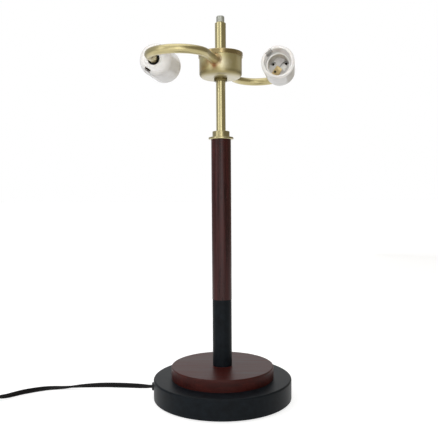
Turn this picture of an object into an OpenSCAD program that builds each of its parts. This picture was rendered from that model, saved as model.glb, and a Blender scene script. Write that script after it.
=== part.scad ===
// Two-light table lamp stand: round base, turned column, brass cluster,
// and two bent arms with porcelain sockets.
// Millimetres, +Z up, origin on the table under the middle of the base.

/* [Base] */
// Diameter of the round base
base_d = 178; // [160:1:200]
// Height of the base's top above the table
base_h = 27; // [26:1:40]
// Rounding of the base's top edge
base_edge_r = 2; // [0.5:0.5:4]
// Solid top left over the recess under the base
base_web = 8; // [7:0.5:9]
// Thickness of the felt pad
felt_t = 1.2; // [0.8:0.2:2]
// Distance of the felt's edge from the base's edge
felt_inset = 4; // [2:1:10]
// Diameter of the cast ballast
ballast_d = 120; // [106:1:126]
// Thickness of the ballast
ballast_h = 11; // [8:0.5:12]
// Diameter of the ballast's middle hole
ballast_bore = 40; // [36:1:50]
// Width of the ballast's slot for the lead
ballast_slot = 12; // [9:1:16]
// Circle that the ballast screws lie on
ballast_screw_pcd = 84; // [70:1:90]
// Shank diameter of the ballast screws
ballast_screw_d = 4; // [3:0.5:5]
// Depth of the ballast screws in the base
ballast_screw_bite = 5; // [3:0.5:6]
// Diameter of the step on the base
step_d = 132; // [100:1:150]
// Height of the step
step_h = 15; // [10:1:25]
// Rounding of the step's top edge
step_edge_r = 1.5; // [0.5:0.5:4]

/* [Cord bushing] */
// Diameter of the bushing's flange
bushing_flange_d = 10.5; // [9.5:0.5:14]
// Thickness of the bushing's flange
bushing_flange_t = 2.6; // [1.5:0.1:4]
// Diameter of the bushing's barrel
bushing_d = 8.6; // [8.4:0.1:9.2]
// Length of the bushing's barrel in the base
bushing_len = 14; // [10:1:20]

/* [Column] */
// Diameter of the black lower sleeve
sleeve_d = 24.7; // [20:0.1:30]
// Length of the lower sleeve
sleeve_len = 86; // [40:1:140]
// Diameter of the wooden column
column_d = 25.3; // [20:0.1:30]
// Length of the wooden column
column_len = 205; // [120:1:300]
// Diameter of the collar's flange
collar_flange_d = 32; // [28:0.5:40]
// Thickness of the collar's flange
collar_flange_t = 3; // [2:0.5:5]
// Diameter of the collar's neck
collar_neck_d = 22; // [18:0.5:26]
// Height of the collar's neck
collar_neck_h = 7.5; // [5:0.5:14]
// Diameter of the pole tube
pole_d = 12; // [11.8:0.1:14]
// Length of the pole tube between the collar and the seat ring
pole_len = 63; // [30:1:120]

/* [Threaded rod] */
// Outer diameter of the rod and the upper stud
rod_d = 10.3; // [9.5:0.1:10.5]
// Bore of the rod and the upper stud
rod_bore = 6.6; // [6:0.1:7]
// Length of rod left free under its nut
rod_tail = 1.5; // [0.5:0.5:3]
// Thickness of the rod's nut
nut_t = 5; // [3:0.5:6]
// Width of the nut across its flats
nut_af = 16; // [14:0.5:20]
// Diameter of the washer over the nut
washer_d = 28; // [22:1:34]
// Thickness of the washer
washer_t = 1.6; // [1:0.2:2]

/* [Cluster] */
// Diameter of the seat ring
seat_ring_d = 17; // [15.5:0.5:22]
// Height of the seat ring
seat_ring_h = 4; // [2:0.5:8]
// Outer diameter of the cup
cup_d = 54.2; // [50:0.2:64]
// Height of the cup
cup_h = 30.8; // [29:0.2:40]
// Wall of the cup
cup_wall = 1.2; // [0.8:0.1:2]
// Rounding of the cup's lower corner
cup_corner_r = 6; // [3:0.5:7]
// Wall of the lid's rim
lid_wall = 1.1; // [0.8:0.1:2]
// Thickness of the lid's top
lid_t = 1.2; // [0.8:0.1:2]
// Height of the lid's rim
lid_rim_h = 5.7; // [4:0.1:7]
// Outer diameter of the hickey
hickey_d = 17; // [15:0.5:19]
// Height of the hickey
hickey_h = 24; // [22:0.5:26]
// Length of thread at each end of the hickey
hickey_thread = 7; // [5:0.5:8]
// Outer diameter of the riser tube
riser_d = 14; // [12.5:0.5:18]
// Length of the riser tube
riser_len = 38.5; // [20:0.5:60]
// Chamfer at the top of the riser tube
riser_chamfer = 1.2; // [0.4:0.1:1.5]
// Length of the free end of the upper stud
stud_free = 8; // [5:0.5:16]
// Diameter of the wire connectors
connector_d = 8.4; // [8:0.2:9]
// Height of the wire connectors
connector_h = 12; // [9:0.5:12]

/* [Arms] */
// Outer diameter of the arm tubes
arm_d = 10.4; // [9:0.1:11]
// Wall of the arm tubes
arm_wall = 1; // [0.6:0.1:1.5]
// Height above the cup's underside at which the arms' lines meet the lamp's axis
arm_rise = 18.3; // [15:0.1:20]
// Turn of the arms' roots from the front and the back of the cup, in degrees
arm_turn = 13.6; // [0:0.2:20]
// Fall of the arms away from the cup, in degrees
arm_droop = 2.2; // [0:0.1:4]
// Distance from the lamp's axis to the start of the bend
arm_reach = 72; // [60:1:90]
// Radius of the bend
arm_bend_r = 33.8; // [30:0.2:50]
// Angle of the bend, in degrees
arm_bend = 176; // [165:1:190]
// Straight length between the bend and the socket
arm_leg = 14.3; // [8:0.1:40]
// Length of arm inside the cup
arm_tail = 4; // [2:0.5:5]
// Width of the bead of braze round the arm's root
braze_w = 2; // [0.8:0.1:2.4]

/* [Sockets] */
// Diameter of the socket at its lip
socket_d = 42; // [40:0.5:48]
// Diameter of the socket at its base
socket_base_d = 40; // [38:0.5:46]
// Length of the socket
socket_len = 55.5; // [54:0.5:64]
// Rounding of the lip's outer edge
socket_lip_r = 3; // [1.5:0.5:3.5]
// Rounding of the base's edge
socket_base_r = 11; // [6:0.5:11.5]
// Diameter of the mouth at the lip
socket_mouth_d = 34; // [32.5:0.5:35]
// Depth of porcelain behind the floor
socket_floor = 19.5; // [18:0.5:22]
// Depth of the hole that takes the arm
socket_arm_depth = 14.5; // [13:0.5:15.5]
// Diameter of the recess round the arm
socket_recess_d = 15; // [13:0.5:17]
// Depth of the recess round the arm
socket_recess_h = 8; // [4:0.5:9]
// Inner diameter of the screw shell
shell_d = 26.6; // [26.2:0.1:27]
// Wall of the screw shell
shell_wall = 0.8; // [0.6:0.1:1]
// Length of the screw shell
shell_len = 20; // [18:0.5:22]
// Thickness of the contact tongue
tongue_t = 0.6; // [0.4:0.1:0.8]
// Width of the contact tongue
tongue_w = 9; // [6:0.5:9.5]
// Length of the contact tongue
tongue_len = 11; // [9:0.5:12]
// Slope of the contact tongue at rest, in degrees
tongue_slope = 25; // [20:1:30]
// Diameter of the set screw
setscrew_d = 4; // [3:0.5:4]

/* [Cord] */
// Width of the flat cord
cord_w = 6.4; // [5.6:0.1:6.6]
// Thickness of the flat cord
cord_t = 3; // [2.6:0.1:3.2]
// Diameter of the main lead inside the rod
main_lead_d = 4; // [3:0.2:4.4]
// Diameter of the lead in each arm
arm_lead_d = 2.8; // [2:0.2:2.8]
// Diameter of the wires between the main lead and the connectors
tail_d = 1.6; // [1.2:0.1:1.6]
// Radius of the coil's outer loop
coil_r = 44; // [40:1:60]
// Step between loops
coil_step = 4.8; // [4.6:0.1:5.4]
// Loops that spiral inwards
coil_loops_in = 3; // [2:1:4]
// Loops that spiral outwards
coil_loops_out = 2.5; // [1.5:1:3.5]
// Width of the band that ties the coil
tie_w = 8; // [5:1:12]
// Thickness of the band
tie_t = 0.8; // [0.5:0.1:1]

/* [In-line switch] */
// Length of the switch housing
switch_len = 46; // [42:1:60]
// Width of the switch housing
switch_w = 22; // [20:1:24]
// Height of the switch housing
switch_h = 14; // [13:0.5:18]
// Diameter of the thumb wheel
wheel_d = 17; // [15:0.5:18]
// Thickness of the thumb wheel
wheel_t = 4.4; // [3:0.2:5]
// How far the wheel stands out of the housing
wheel_out = 3; // [2:0.5:4]
// Diameter of the wheel's axle
axle_d = 3; // [2:0.5:4]

/* [Plug] */
// Length of the plug's body
plug_len = 30; // [26:1:40]
// Width of the plug's body at its face
plug_w = 25; // [22:0.5:30]
// Height of the plug's body
plug_h = 14; // [12:0.5:16]
// Distance between the blades
blade_pitch = 12.7; // [12.5:0.1:13]
// Length of the blades outside the body
blade_len = 17.5; // [15:0.5:18]
// Width of the blades
blade_w = 6.35; // [6:0.05:6.5]
// Thickness of the blades
blade_t = 1.5; // [1.3:0.1:1.7]

/* [Hidden] */

$fn = 96;

// Clearances
rod_gap = 0.3;
seat_gap = 0.05;
cord_gap = 0.2;
running_gap = 0.05;
lid_gap = 0.3;
shell_gap = 0.2;
wheel_gap = 0.6;
soft_gap = 0.3;
end_gap = 0.2;
ballast_gap = 1;
layer_gap = 0.8;
// How far a cutting shape runs past the face it cuts
cut = 1;

// Lap between the lengths of a bent tube
lap = 0.1;
lap_step = 0.02;

// Thread left free at each end of the hickey's window
thread_short = 0.5;

// Heights of the stacked pieces
web_z = base_h - base_web;
cord_z = (base_h + felt_t) / 2;
sleeve_z = base_h + step_h;
column_z = sleeve_z + sleeve_len;
collar_z = column_z + column_len;
neck_z = collar_z + collar_flange_t;
pole_top = neck_z + collar_neck_h + pole_len;
cup_z = pole_top + seat_ring_h;
cup_floor = cup_z + cup_wall;
cup_top = cup_z + cup_h;
lid_top = cup_top + lid_t;
riser_top = lid_top + riser_len;
stud_top = riser_top + stud_free;
rod_bottom = web_z - washer_t - nut_t - rod_tail;
rod_top = cup_floor + hickey_thread - thread_short;
stud_bottom = cup_floor + hickey_h - hickey_thread + thread_short;

// Radii and diameters that follow from the fits
rod_hole = rod_d + 2 * rod_gap;
thread_hole = rod_d + 2 * seat_gap;
recess_r = ballast_d / 2 + ballast_gap;
lid_r = cup_d / 2 + lid_gap + lid_wall;
arm_r = arm_d / 2;
arm_z = cup_z + arm_rise;
shell_r = shell_d / 2;
shell_out = shell_r + shell_wall;
socket_bore_r = shell_out + shell_gap;
socket_ledge = socket_floor + shell_len;
arm_grip = socket_arm_depth - end_gap;

// Small chamfers and roundings
base_foot_chamfer = 0.6;
bushing_edge_r = 0.8;
neck_edge_r = 0.8;
stud_chamfer = 0.8;
stud_undersize = 0.25;
seat_ring_foot = 0.6;
mouth_edge_r = 1;
braze_tip = 0.2;

// Ballast screws
screw_angles = [0, 120, 240];
screw_head_d = 2 * ballast_screw_d;
screw_head_h = 2.4;
screw_tip_gap = 0.5;

// Slots for a screwdriver
slot_w = 0.6;
slot_depth = 0.7;

// Inside of a socket, seen into its mouth with the bulb's axis towards the viewer
tongue_turn = 50;
tongue_root = 9.5;
tongue_lift = 1.3;
knuckle_r = 0.5;
foot_t = 0.5;
foot_front = 3.6;
foot_back = 12;
foot_stand = 1.8;
rivet_at = 5.5;
rivet_head_d = 3;
rivet_head_h = 0.6;
rivet_d = 1.6;
rivet_bite = 2.5;
strap_size = 7.4;
strap_t = 0.8;
strap_at = [5.2, -3.6];
boss_h = 1.6;
boss_at = [4.8, 5.2];
boss_size = 7;
pocket_angles = [43, 139];
pocket_at = 11;
pocket_size = [4, 6, 7];
terminal_head_d = 3.4;
terminal_head_h = 2;
terminal_d = 2;
terminal_bite = 2.5;
groove_at = [2, 0.5];
groove_size = [8, 1.1, 2];
gap_angle = -46;
gap_at = 15.6;
gap_rise = 2;
gap_size = [1, 9, 8];
notch_angle = 132;
notch_at = 17.2;
notch_size = [3.2, 9.5, 28];
base_slot_angle = -55;
base_slot_at = 15;
base_slot_size = [3.6, 8.5, 11];
shell_relief = 0.3;
shell_relief_h = 7.5;
shell_lip_w = 1;
shell_lip_t = 0.6;
setscrew_z = (socket_recess_h + socket_arm_depth) / 2;
setscrew_len = 9;

// Connectors in the cup
connector_x = 15;
connector_wall = 0.9;
connector_mouth_h = 6;
connector_tip_h = 3;
connector_taper = 1;
tail_end_x = connector_x - 1.4;
lead_end_x = connector_x + 0.9;
wire_in = 2;
wire_end_z = cup_floor + connector_h - wire_in;

// In-line switch: where its inlet stands and the way it points
switch_at = [-300, -20];
switch_turn = 205;
switch_corner_r = 5;
switch_mid = switch_h / 2;
switch_inlet = 6;
wheel_x = switch_len / 2;
wheel_y = switch_w / 2 + wheel_out - wheel_d / 2;
axle_end = 2.5;
axle_play = 0.1;
wheel_ribs = 24;
rib_w = 0.8;
rib_depth = 0.5;
switch_screw_d = 2.4;
switch_screw_head_d = 4.4;
switch_screw_head_h = 1.4;
switch_screw_sink = 0.2;
switch_screw_y = -switch_w / 4;
switch_screw_inset = 10;
switch_screw_places = [switch_screw_inset, switch_len - switch_screw_inset];
switch_screw_z = switch_screw_sink + switch_screw_head_h;
contact_y = -switch_w / 4;
contact_size = [9, 0.8, 5];
contact_gap = 0.1;
contact_places = [for (side = [-1, 1]) switch_len / 2 + side * (contact_size.x / 2 + 1)];

// Coil, tie and plug
coil_at = [-354, 20];
coil_start = 180;
coil_layer = cord_w + layer_gap;
coil_z = cord_w / 2 + tie_t + soft_gap + end_gap;
coil_inner = coil_r - coil_step * coil_loops_in;
coil_climb = 0.5;
coil_loops = coil_loops_in + coil_climb + coil_loops_out;
coil_rings = 24;
tie_angle = 0;
// Room for the loop's sides and its curve across the width of the tie
tie_room = coil_inner * (1 - cos(180 / coil_rings)) + pow(tie_w, 2) / (8 * coil_inner);
plug_inlet = 6;
plug_back_w = 14;
plug_waist = 0.6;
plug_waist_r = 3;
plug_edge_r = 2;
plug_flare = 20;
plug_x = -397;
plug_y = 66;
blade_root = 6;
blade_gap = 0.1;
blade_hole_d = 3.2;
blade_hole_inset = 4;

// Route of the cord from the base to the switch: place and twist, chosen by hand
lead_route = [
  [-92, 0, 14, 0], [-99, 0, 14, 15], [-110, 5, 13, 40], [-130, 14, 11, 65], [-160, 25, 8, 90],
  [-190, 31, 5, 135], [-215, 33, 2.4, 180], [-239, 28, 2.8, 215], [-262, 12, 3.8, 250],
  [-280, -6, 4.2, 290], [-292, -15, 6, 340]
];
// Route of the cord from the switch to the coil
link_route = [[-353, -44, 6, 20], [-372, -44, 4.6, 55], [-389, -34, 4.6, 80], [-397, -16, 4.6, 90]];
// Route of the cord from the coil to the plug
plug_route = [[-396, 36, 11.8], [-397, 48, 9.6], [-397, 58, 7.4]];
// Route of the main lead from the bushing into the rod
main_route = [
  [-60, 0, 14], [-44, 0, 13], [-28, 0, 7], [-14, 0, 3.6], [-5, 0, 3.6], [-0.8, 0, 6.4]
];

// Colours
black = [0.11, 0.12, 0.13];
mahogany = [0.33, 0.17, 0.15];
brass = [0.72, 0.66, 0.42];
dark_brass = [0.42, 0.36, 0.24];
zinc = [0.74, 0.74, 0.70];
porcelain = [0.95, 0.95, 0.93];
nickel = [0.80, 0.80, 0.80];
iron = [0.25, 0.25, 0.25];
felt = [0.08, 0.16, 0.10];
copper = [0.72, 0.45, 0.30];

function arc(c, r, a0, a1, n = 8) =
  [for (i = [0:n]) let (a = a0 + (a1 - a0) * i / n) [c.x + r * cos(a), c.y + r * sin(a)]];
function rounded_rect(l, w, r) = concat(
  arc([l - r, w / 2 - r], r, 0, 90), arc([r, w / 2 - r], r, 90, 180),
  arc([r, r - w / 2], r, 180, 270), arc([l - r, r - w / 2], r, 270, 360));
function unit(v) = v / norm(v);
function ease(t) = let (c = min(max(t, 0), 1)) c * c * (3 - 2 * c);

// A smooth curve through hand-set points, of any number of coordinates
function between(p, i, t) =
  let (a = p[max(i - 1, 0)], b = p[i], c = p[i + 1], d = p[min(i + 2, len(p) - 1)])
  0.5 * (2 * b + (c - a) * t + (2 * a - 5 * b + 4 * c - d) * t * t + (3 * b - a - 3 * c + d) * t * t * t);
function smooth(p, steps) =
  concat([for (i = [0:len(p) - 2]) for (k = [0:steps - 1]) between(p, i, k / steps)], [p[len(p) - 1]]);
function place(p) = [p[0], p[1], p[2]];

// Outlines swept along a path: a flat cord of eight or six sides, and a round wire
function flat_outline(w, t, n) =
  [for (i = [0:n - 1]) let (a = 360 * i / n) [w / 2 * sign_pow(cos(a)), t / 2 * sign_pow(sin(a))]];
function sign_pow(x) = sign(x) * pow(abs(x), 0.7);
function round_outline(d, n) = [for (i = [0:n - 1]) d / 2 * [cos(360 * i / n), sin(360 * i / n)]];

function swept_ring(path, i, outline, up, twist) =
  let (
    t = unit(path[min(i + 1, len(path) - 1)] - path[max(i - 1, 0)]),
    side = unit(cross(t, up)),
    high = cross(side, t),
    c = cos(twist),
    s = sin(twist)
  )
  [for (q = outline) path[i] + side * (q.x * c - q.y * s) + high * (q.x * s + q.y * c)];

module swept(path, outline, up = [0, 0, 1], twists = []) {
  n = len(outline);
  last = len(path) - 1;
  rings = [for (i = [0:last]) swept_ring(path, i, outline, up, len(twists) > 0 ? twists[i] : 0)];
  walls = [for (i = [0:last - 1]) for (k = [0:n - 1])
    let (a = i * n + k, b = i * n + (k + 1) % n, c = b + n, d = a + n)
    each [[a, b, c], [a, c, d]]];
  first_cap = [for (k = [1:n - 2]) [0, k + 1, k]];
  last_cap = [for (k = [1:n - 2]) [last * n, last * n + k, last * n + k + 1]];
  polyhedron([for (r = rings) each r], concat(walls, first_cap, last_cap));
}

// Cord paths
switch_way = [cos(switch_turn), sin(switch_turn)];
function switch_point(x) = [switch_at.x + x * switch_way.x, switch_at.y + x * switch_way.y, switch_mid];
bushing_in = base_d / 2 - bushing_len;
function with_twist(p, twist) = [p.x, p.y, p.z, twist];
lead_points = smooth(concat(
  [[-bushing_in, 0, cord_z, 0]], lead_route,
  [with_twist(switch_point(0), 360), with_twist(switch_point(switch_inlet - cord_gap), 360)]), 2);
coil_points = [for (i = [0:coil_loops * coil_rings]) coil_point(i / coil_rings)];
link_points = smooth(concat(
  [with_twist(switch_point(switch_len - switch_inlet + cord_gap), 0),
   with_twist(switch_point(switch_len), 0)],
  link_route,
  [with_twist(coil_points[0] - [0, cord_w, 0], 90), with_twist(coil_points[0] - [0, soft_gap, 0], 90)]), 2);
plug_end = [plug_x, plug_y + plug_inlet - cord_gap, plug_h / 2];
tail_points = smooth(concat(
  [coil_points[len(coil_points) - 1]], plug_route, [[plug_x, plug_y, plug_h / 2], plug_end]), 2);
coil_path = concat(coil_points, [for (i = [1:len(tail_points) - 1]) tail_points[i]]);

function coil_radius(t) =
  t < coil_loops_in ? coil_r - coil_step * t
  : coil_inner + coil_step * max(0, t - coil_loops_in - coil_climb);
function coil_height(t) = coil_z + coil_layer * ease((t - coil_loops_in) / coil_climb);
function coil_point(t) =
  let (a = coil_start - 360 * t, r = coil_radius(t))
  [coil_at.x + r * cos(a), coil_at.y + r * sin(a), coil_height(t)];

function path_length(p) = len(p) < 2 ? 0 : [for (i = 0, s = 0; i < len(p); s = s + (i + 1 < len(p) ?
  norm(place(p[i + 1]) - place(p[i])) : 0), i = i + 1) s][len(p) - 1];

// Least gap between loops, measured on points of each ring's outline
coil_outline = flat_outline(cord_w, cord_t, 6);
function dense(o) = [for (i = [0:len(o) - 1]) for (k = [0:2]) o[i] + (o[(i + 1) % len(o)] - o[i]) * k / 3];
gap_rings = [for (i = [0:len(coil_path) - 1]) swept_ring(coil_path, i, dense(coil_outline), [0, 0, 1], 90)];
function ring_gap(a, b) = min([for (p = a) for (q = b) norm(p - q)]);
coil_gap = min([for (i = [0:len(gap_rings) - 1]) for (j = [i + coil_rings - 2:len(gap_rings) - 1])
  if (norm(coil_path[i] - coil_path[j]) < 2 * cord_w) ring_gap(gap_rings[i], gap_rings[j])]);
cord_length = path_length(lead_points) + switch_len - 2 * switch_inlet
  + path_length(link_points) + path_length(coil_path);
echo(least_coil_gap = coil_gap, whole_cord_length = cord_length);

// Frames shared by the pieces of the head
module on_side(right) {
  rotate([0, 0, right ? 0 : 180]) children();
}
module arm_frame() {
  rotate([0, 0, -arm_turn]) translate([0, 0, arm_z]) rotate([-arm_droop, 0, 0]) children();
}
module bend_frame() {
  translate([arm_bend_r, arm_reach, 0]) rotate([0, 0, 180 - arm_bend]) children();
}
module bend_end() {
  bend_frame() translate([arm_bend_r, 0, 0]) children();
}
module socket_frame(right) {
  on_side(right) arm_frame() bend_end() translate([0, -arm_leg, 0]) rotate([90, 0, 0]) children();
}
module tongue_frame(right) {
  socket_frame(right) translate([0, 0, socket_floor]) rotate([0, 0, tongue_turn]) children();
}
module switch_frame() {
  translate([switch_at.x, switch_at.y, 0]) rotate([0, 0, switch_turn]) children();
}
module turned(profile) {
  rotate_extrude() polygon(profile);
}
module tube(d, bore, h) {
  difference() {
    cylinder(d = d, h = h);
    translate([0, 0, -cut]) cylinder(d = bore, h = h + 2 * cut);
  }
}
module hex_bar(af, h) {
  cylinder(d = af / cos(30), h = h, $fn = 6);
}
// A block centred across, standing inwards from an outer face at the given angle
module radial_block(angle, at, size) {
  rotate([0, 0, angle]) translate([at - size.x / 2, -size.y / 2, -size.z])
    cube([size.x, size.y, size.z + cut]);
}

// Base and ballast
module base_disc() {
  r = base_d / 2;
  color(black) difference() {
    turned(concat(
      [[rod_hole / 2, web_z], [recess_r, web_z], [recess_r, felt_t],
       [r - base_foot_chamfer, felt_t], [r, felt_t + base_foot_chamfer]],
      arc([r - base_edge_r, base_h - base_edge_r], base_edge_r, 0, 90), [[rod_hole / 2, base_h]]));
    translate([-r - cut, 0, cord_z]) rotate([0, 90, 0])
      cylinder(d = bushing_d + 2 * seat_gap, h = r - recess_r + 3 * cut);
    for (a = screw_angles) rotate([0, 0, a]) translate([ballast_screw_pcd / 2, 0, web_z - cut])
      cylinder(d = ballast_screw_d + 2 * seat_gap, h = ballast_screw_bite + screw_tip_gap + cut);
  }
}
module ballast() {
  color(iron) translate([0, 0, web_z - ballast_h]) difference() {
    tube(ballast_d, ballast_bore, ballast_h);
    translate([-ballast_d, -ballast_slot / 2, -cut]) cube([ballast_d, ballast_slot, ballast_h + 2 * cut]);
    for (a = screw_angles) rotate([0, 0, a]) translate([ballast_screw_pcd / 2, 0, -cut])
      cylinder(d = ballast_screw_d + 2 * rod_gap, h = ballast_h + 2 * cut);
  }
}
module ballast_screws() {
  color(zinc) for (a = screw_angles) rotate([0, 0, a])
    translate([ballast_screw_pcd / 2, 0, web_z - ballast_h]) {
      translate([0, 0, -screw_head_h]) cylinder(d = screw_head_d, h = screw_head_h);
      cylinder(d = ballast_screw_d, h = ballast_h + ballast_screw_bite);
    }
}
module felt_pad() {
  color(felt) cylinder(d = base_d - 2 * felt_inset, h = felt_t);
}
module rod_washer() {
  color(zinc) translate([0, 0, web_z - washer_t]) tube(washer_d, rod_hole, washer_t);
}
module rod_nut() {
  color(zinc) translate([0, 0, web_z - washer_t - nut_t]) difference() {
    hex_bar(nut_af, nut_t);
    translate([0, 0, -cut]) cylinder(d = thread_hole, h = nut_t + 2 * cut);
  }
}
module cord_bushing() {
  flange_r = bushing_flange_d / 2;
  color(black) translate([0, 0, cord_z]) rotate([0, -90, 0]) translate([0, 0, bushing_in]) difference() {
    union() {
      cylinder(d = bushing_d, h = bushing_len);
      translate([0, 0, bushing_len]) turned(concat(
        [[0, 0], [flange_r, 0]],
        arc([flange_r - bushing_edge_r, bushing_flange_t - bushing_edge_r], bushing_edge_r, 0, 90),
        [[0, bushing_flange_t]]));
    }
    translate([-cord_t / 2 - cord_gap, -cord_w / 2 - cord_gap, -cut])
      cube([cord_t + 2 * cord_gap, cord_w + 2 * cord_gap, bushing_len + bushing_flange_t + 2 * cut]);
  }
}

// Column
module wood_step() {
  r = step_d / 2;
  color(mahogany) translate([0, 0, base_h]) turned(concat(
    [[rod_hole / 2, 0], [r, 0]], arc([r - step_edge_r, step_h - step_edge_r], step_edge_r, 0, 90),
    [[rod_hole / 2, step_h]]));
}
module lower_sleeve() {
  color(black) translate([0, 0, sleeve_z]) tube(sleeve_d, rod_hole, sleeve_len);
}
module wood_column() {
  color(mahogany) translate([0, 0, column_z]) tube(column_d, rod_hole, column_len);
}
module column_collar() {
  f = collar_flange_d / 2;
  k = collar_neck_d / 2;
  top = collar_flange_t + collar_neck_h;
  pole_hole = pole_d + 2 * seat_gap;
  round_r = collar_flange_t / 3;
  color(brass) translate([0, 0, collar_z]) turned(concat(
    [[rod_hole / 2, 0]], arc([f - round_r, round_r], round_r, -90, 0),
    arc([f - round_r, collar_flange_t - round_r], round_r, 0, 90), [[k, collar_flange_t]],
    arc([k - neck_edge_r, top - neck_edge_r], neck_edge_r, 0, 90),
    [[pole_hole / 2, top], [pole_hole / 2, collar_flange_t], [rod_hole / 2, collar_flange_t]]));
}
module threaded_rod() {
  color(zinc) translate([0, 0, rod_bottom]) tube(rod_d, rod_bore, rod_top - rod_bottom);
}
module pole_tube() {
  color(brass) translate([0, 0, neck_z]) tube(pole_d, rod_hole, pole_top - neck_z);
}

// Cluster
module seat_ring() {
  r = seat_ring_d / 2;
  low_r = (r + pole_d / 2) / 2 + seat_ring_foot;
  color(dark_brass) translate([0, 0, pole_top]) turned([
    [rod_hole / 2, 0], [low_r, 0], [r, seat_ring_h / 2], [r, seat_ring_h], [rod_hole / 2, seat_ring_h]]);
}
module cluster_cup() {
  r = cup_d / 2;
  c = cup_corner_r;
  color(brass) difference() {
    translate([0, 0, cup_z]) turned(concat(
      [[rod_hole / 2, 0]], arc([r - c, c], c, -90, 0), [[r, cup_h], [r - cup_wall, cup_h]],
      arc([r - c, c], c - cup_wall, 0, -90), [[rod_hole / 2, cup_wall]]));
    for (right = [true, false]) on_side(right) arm_frame() rotate([-90, 0, 0])
      cylinder(d = arm_d + 2 * seat_gap, h = cup_d);
  }
}
module cluster_lid() {
  round_r = lid_t;
  color(dark_brass) translate([0, 0, lid_top - lid_rim_h]) turned(concat(
    [[lid_r - lid_wall, 0], [lid_r, 0]],
    arc([lid_r - round_r, lid_rim_h - round_r], round_r, 0, 90),
    [[rod_hole / 2, lid_rim_h], [rod_hole / 2, lid_rim_h - lid_t], [lid_r - lid_wall, lid_rim_h - lid_t]]));
}
module hickey() {
  window_h = hickey_h - 2 * hickey_thread;
  window_w = rod_d;
  color(brass) translate([0, 0, cup_floor]) difference() {
    tube(hickey_d, thread_hole, hickey_h);
    translate([-hickey_d, -window_w / 2, hickey_thread]) cube([2 * hickey_d, window_w, window_h]);
  }
}
module upper_stud() {
  free_r = rod_d / 2 - stud_undersize;
  color(zinc) translate([0, 0, stud_bottom]) turned([
    [rod_bore / 2, 0], [rod_d / 2, 0], [rod_d / 2, riser_top - stud_bottom],
    [free_r, riser_top - stud_bottom], [free_r, stud_top - stud_bottom - stud_chamfer],
    [free_r - stud_chamfer, stud_top - stud_bottom], [rod_bore / 2, stud_top - stud_bottom]]);
}
module riser_tube() {
  r = riser_d / 2;
  color(brass) translate([0, 0, lid_top]) turned([
    [thread_hole / 2, 0], [r, 0], [r, riser_len - riser_chamfer], [r - riser_chamfer, riser_len],
    [thread_hole / 2, riser_len]]);
}

// Arms
// The straight ends are a hair thinner than the bend and lap into it, so that the arm is one solid
module arm(right) {
  start = cup_d / 2 - cup_wall - arm_tail;
  bore = arm_d - 2 * arm_wall;
  end_d = arm_d - 2 * lap_step;
  end_bore = bore + 2 * lap_step;
  color(brass) on_side(right) arm_frame() {
    translate([0, start, 0]) rotate([-90, 0, 0]) tube(end_d, end_bore, arm_reach - start + lap);
    bend_frame() rotate_extrude(angle = arm_bend) translate([arm_bend_r, 0]) difference() {
      circle(d = arm_d);
      circle(d = bore);
    }
    bend_end() translate([0, lap, 0]) rotate([90, 0, 0]) tube(end_d, end_bore, arm_leg + arm_grip + lap);
  }
}
module arm_left() {
  arm(false);
}
module arm_right() {
  arm(true);
}
module braze_beads() {
  bead_y = sqrt(pow(cup_d / 2, 2) - pow(arm_r + seat_gap + braze_w, 2)) - 3 * braze_tip;
  bead_end = cup_d / 2 + braze_w;
  inner = arm_r + seat_gap;
  color(copper) for (right = [true, false]) on_side(right) difference($fn = 360) {
    arm_frame() translate([0, bead_y, 0]) rotate([-90, 0, 0]) turned([
      [inner, 0], [inner + braze_w, 0], [inner + braze_w, bead_end - bead_y - braze_w + braze_tip],
      [inner + braze_tip, bead_end - bead_y], [inner, bead_end - bead_y]]);
    translate([0, 0, cup_z - cut]) cylinder(r = cup_d / 2 + seat_gap, h = cup_h + 2 * cut);
  }
}

// Sockets
module socket_body(right) {
  r = socket_d / 2;
  b = socket_base_d / 2;
  hole_r = arm_r + seat_gap;
  mouth_r = socket_mouth_d / 2;
  ledge_r = shell_r + shell_wall + shell_lip_w + shell_gap;
  lip = socket_lip_r;
  color(porcelain) socket_frame(right) difference() {
    union() {
      turned(concat(
        [[0, socket_arm_depth], [hole_r, socket_arm_depth], [hole_r, socket_recess_h],
         [socket_recess_d / 2, socket_recess_h], [socket_recess_d / 2, 0]],
        arc([b - socket_base_r, socket_base_r], socket_base_r, -90, 0),
        arc([r - lip, socket_len - lip], lip, 0, 90),
        arc([mouth_r + mouth_edge_r, socket_len - mouth_edge_r], mouth_edge_r, 100, 170, 4),
        [[ledge_r, socket_ledge + shell_lip_t], [ledge_r, socket_ledge], [socket_bore_r, socket_ledge],
         [socket_bore_r, socket_floor], [0, socket_floor]]));
      translate([0, 0, socket_floor]) rotate([0, 0, tongue_turn]) translate([boss_at.x, boss_at.y, 0])
        translate([-boss_size / 2, -boss_size / 2, -cut]) cube([boss_size, boss_size, boss_h + cut]);
    }
    radial_block_at(socket_len, notch_angle, notch_at, notch_size);
    radial_block_at(0, base_slot_angle, base_slot_at, base_slot_size, true);
    for (a = pocket_angles) {
      radial_block_at(socket_floor + boss_h, a, pocket_at, pocket_size + [0, 0, boss_h]);
      rotate([0, 0, a]) translate([pocket_at, 0, socket_floor - pocket_size.z - terminal_bite])
        cylinder(d = terminal_d + 2 * seat_gap, h = terminal_bite + cut);
    }
    radial_block_at(socket_ledge + gap_rise, gap_angle, gap_at, gap_size);
    translate([0, 0, socket_floor - groove_size.z]) rotate([0, 0, tongue_turn])
      translate([groove_at.x, groove_at.y, 0]) cube(groove_size + [0, 0, cut]);
    translate([0, 0, setscrew_z]) rotate([-90, 0, 0]) cylinder(d = setscrew_d + 2 * seat_gap, h = r + cut);
    translate([0, 0, socket_floor]) rotate([0, 0, tongue_turn]) for (p = [[-rivet_at, 0], strap_at])
      translate([p.x, p.y, -rivet_bite]) cylinder(d = rivet_d + 2 * seat_gap, h = rivet_bite + cut);
  }
}
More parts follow.
